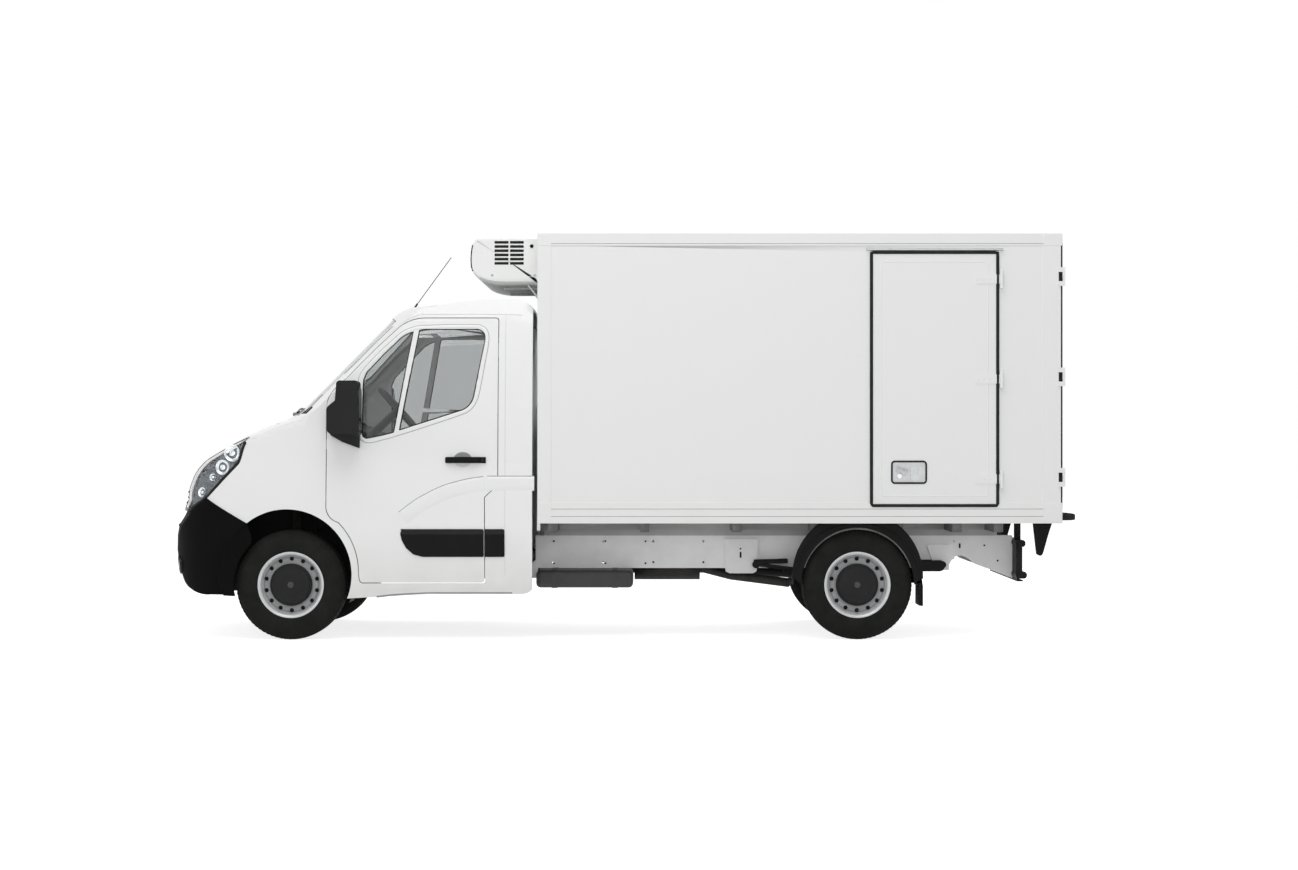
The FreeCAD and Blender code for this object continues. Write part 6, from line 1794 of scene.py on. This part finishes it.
@dataclass
class Pad:
  """One stuffed seat pad.

  It is made in its own frame, u across the seat, v along its face and w out of its face, and then placed.
  """

  name: str
  middle_mm: Triple
  size_mm: Triple
  lean: float
  seams: tuple[float, ...]
  cross: tuple[float, ...]
  swell_mm: float
  voxel_mm: float = 10.0
  start_mm: float = 19.0

  def start(self) -> Thing:
    """The pad before it is stuffed: a slightly small, boxy ellipsoid remeshed into even voxels.

    Along each axis a point lies at the half size times the power of a cosine or sine whose
    exponent, under one, squares the ellipsoid off.
    """
    half = (np.array(self.size_mm) / 2 - self.start_mm) * MM
    up = np.linspace(-np.pi / 2, np.pi / 2, 41)[:, None]
    turn = around(96)[None]

    def power(value: Array, share: float) -> Array:
      return np.sign(value) * np.abs(value) ** share

    shape = np.stack([power(np.cos(up), 0.22) * power(np.cos(turn), 0.26),
        power(np.cos(up), 0.22) * power(np.sin(turn), 0.26), power(np.sin(up), 0.5) * np.ones_like(turn)], -1)
    surface = Surface().grid(shape * half, wrap_columns=True)
    mesh = bpy.data.meshes.new(f"{self.name}_start")
    mesh.from_pydata(np.concatenate(surface.points).tolist(), [], surface.faces)
    thing = new_object(f"{self.name}_start", mesh)
    modify(thing, "voxels", "REMESH", mode="VOXEL", voxel_size=self.voxel_mm * MM)
    even_mesh = bpy.data.meshes.new_from_object(thing.evaluated_get(bpy.context.evaluated_depsgraph_get()))
    thing.modifiers.clear()
    thing.data = even_mesh
    return thing

  def finish(self, thing: Thing, rest: Array, swollen: Array) -> None:
    """Cap how far the pad swelled, press its seams in, place it and dress it.

    The cap is a hyperbolic tangent of the distance moved, so the middle of a face keeps its crown.

    A seam's depth falls off as a bell curve with the distance from it; the seam round the
    pad's side pulls u and v inwards in the same way.
    """
    half = np.array(self.size_mm) / 2 * MM
    move = swollen - rest
    far, most = np.maximum(np.linalg.norm(move, axis=1)[:, None], 1e-9), self.swell_mm * MM
    points = rest + move / far * most * np.tanh(far / (2.5 * most))
    points = np.clip(points, -half - [0.002, 0.002, 0.0], half + [0.002, 0.002, 0.006])
    face = np.clip(points[:, 2] / half[2], 0, 1) ** 2
    press = np.zeros(len(points))
    for axis, places in ((0, self.seams), (1, self.cross)):
      for place in places:
        inside = np.abs(points[:, 0]) < 0.6 * half[0] + 0.008 if axis else np.abs(points[:, 1]) < 0.86 * half[1]
        press = np.maximum(press, inside * np.exp(-((points[:, axis] - place * half[axis]) / 0.008) ** 2))
    points[:, 2] -= 0.010 * press * face
    side = 0.005 * np.exp(-((points[:, 2] - 0.45 * half[2]) / 0.007) ** 2)
    points[:, :2] *= 1 - side[:, None] / half[:2]
    lean = math.radians(self.lean)
    axes = np.array([[0, -1, 0], [math.cos(lean), 0, -math.sin(lean)], [math.sin(lean), 0, math.cos(lean)]])
    points = points @ axes + from_axle(self.middle_mm)
    mesh = thing.data
    mesh.vertices.foreach_set("co", points.reshape(-1))
    bpy.data.objects.remove(thing)
    pad = dress_mesh(mesh, self.name, SEAT_CLOTH, smooth=80)
    modify(pad, "soft", "SUBSURF", levels=1, render_levels=1)


def places_of(thing: Thing) -> Array:
  """The vertices of a piece as its modifiers leave them."""
  return read(thing.evaluated_get(bpy.context.evaluated_depsgraph_get()).data.vertices, "co")


def stuff(pads: list[Pad]) -> None:
  """Blow all pads up together as cloth under pressure, without weight, and keep the result."""
  scene = bpy.context.scene
  things = [pad.start() for pad in pads]
  rests = [places_of(thing) for thing in things]
  swollen = rests
  for thing in things:
    cloth = thing.modifiers.new("stuffing", "CLOTH")
    cloth.settings.quality = 5
    cloth.settings.use_pressure = True
    cloth.settings.uniform_pressure_force = 4.0
    cloth.settings.effector_weights.gravity = 0.0
    cloth.point_cache.frame_end = 20
  for number in range(1, 21):
    scene.frame_set(number)
  swollen = [places_of(thing) for thing in things]
  for thing in things:
    thing.modifiers.clear()
  scene.frame_set(1)
  for pad, thing, rest, grown in zip(pads, things, rests, swollen):
    LOG.info("%s swelled by %.1f mm", pad.name, 1000 * np.linalg.norm(grown - rest, axis=1).max())
    pad.finish(thing, rest, grown)


@dataclass
class Cabin:
  """Seats, dashboard, door linings and the roof's lining."""


  def build(self) -> None:
    """Make the cabin."""
    board = recast("dashboard", DASH)
    # Painted shade: the dashboard's foot is near black, for the shade it lies in.
    foot = from_axle((0, 0, 960))[2]
    split_at(board, (0, 0, foot), (0, 0, 1))
    two_tone(board, UNDERSEAL_AND_SHADE, lambda centres, normals: centres[:, 2] < foot)
    self.seats()
    self.door_linings()
    self.headliner()

  def headliner(self) -> None:
    """The bowed lining under the roof, with its soft edges turned up."""
    along, across = np.linspace(-1560, -720, 15)[:, None], np.linspace(-790, 790, 31)[None]
    rise = 2052 - 26 * (across / 790) ** 4 + 0 * along
    sheet = np.stack([along + 0 * across, across + 0 * along, rise], -1)
    under, over = from_axle(sheet), from_axle(sheet + [0, 0, 8])
    ring = np.concatenate([under, over[:, ::-1]], axis=1)
    Surface().grid(ring, wrap_columns=True, caps=True).piece("headliner", HEADLINER, smooth=50)

  def seats(self) -> None:
    """Driver's seat and the double passenger bench: stuffed pads, plain bases and headrest posts."""
    pads = []
    for name, y, wide, seams in (("driver", 400, 500, (-0.6, 0.6)), ("passenger", -370, 880, (-0.8, -0.2, 0.2, 0.8))):
      pads += [Pad(f"{name}_cushion", (-1045, y, 870), (wide, 525, 132), -1.7, seams, (-0.35, 0.25), 24),
          Pad(f"{name}_backrest", (-1322, y, 1250), (wide, 640, 118), 77, seams, (-0.45, 0.0, 0.45), 24),
          Pad(f"{name}_headrest", (-1412, y, 1672), (260, 212, 86), 80.5, (), (0.0,), 12)]
    stuff(pads)
    posts = Surface()
    for y in (400, -370):
      for step in (-65, 65):
        posts.bar(from_axle((-1408, y + step, 1640)), from_axle((-1392, y + step, 1530)), 0.006, 12)
    posts.piece("headrest_posts", STAINLESS, smooth=50)
    rest = Surface()
    for middle, wide in ((400, 420), (-370, 800)):
      rest.block(from_axle((-1290, middle - wide / 2, 560)), from_axle((-840, middle + wide / 2, 808)))
    base = rest.piece("seat_bases", DASH, bevel=0.02)
    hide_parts("seats")

  def door_linings(self) -> None:
    """Moulded linings on the doors' inner sides."""
    for name, side in SIDES.items():
      low = spot(f"cab_door_{name}", (-1, int(side), -1))
      lining = Surface().block((low[0] + 0.14, side * 0.925, low[2] + 0.25),
          (low[0] + 0.86, side * 0.945, low[2] + 0.86))
      lining.piece(f"door_lining_{name}", DASH, f"cab_door_{name}", bevel=0.01)


def main() -> None:
  """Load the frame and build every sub-assembly."""
  logging.basicConfig(level=logging.WARNING, format="%(name)s %(message)s")
  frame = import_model()
  Studio().build()
  for label in ("front_left", "front_right", "rear_left", "rear_right"):
    Wheel(label, SIDES[label.split("_")[1]]).build()
  CabShell().build()
  for node in ("door_glass_left", "door_glass_right"):
    recast(node, GLASS, f"cab_door_{node.split('_')[-1]}")
  FrontEnd().build()
  for name, side in SIDES.items():
    WheelHouse(name, side).build()
    Mirror(name, side).build()
  Ease(frame).build()
  Cabin().build()
  InsulatedBox().build()
  CoolingUnit().build()
  Chassis().build()


if __name__ == "__main__":
  main()
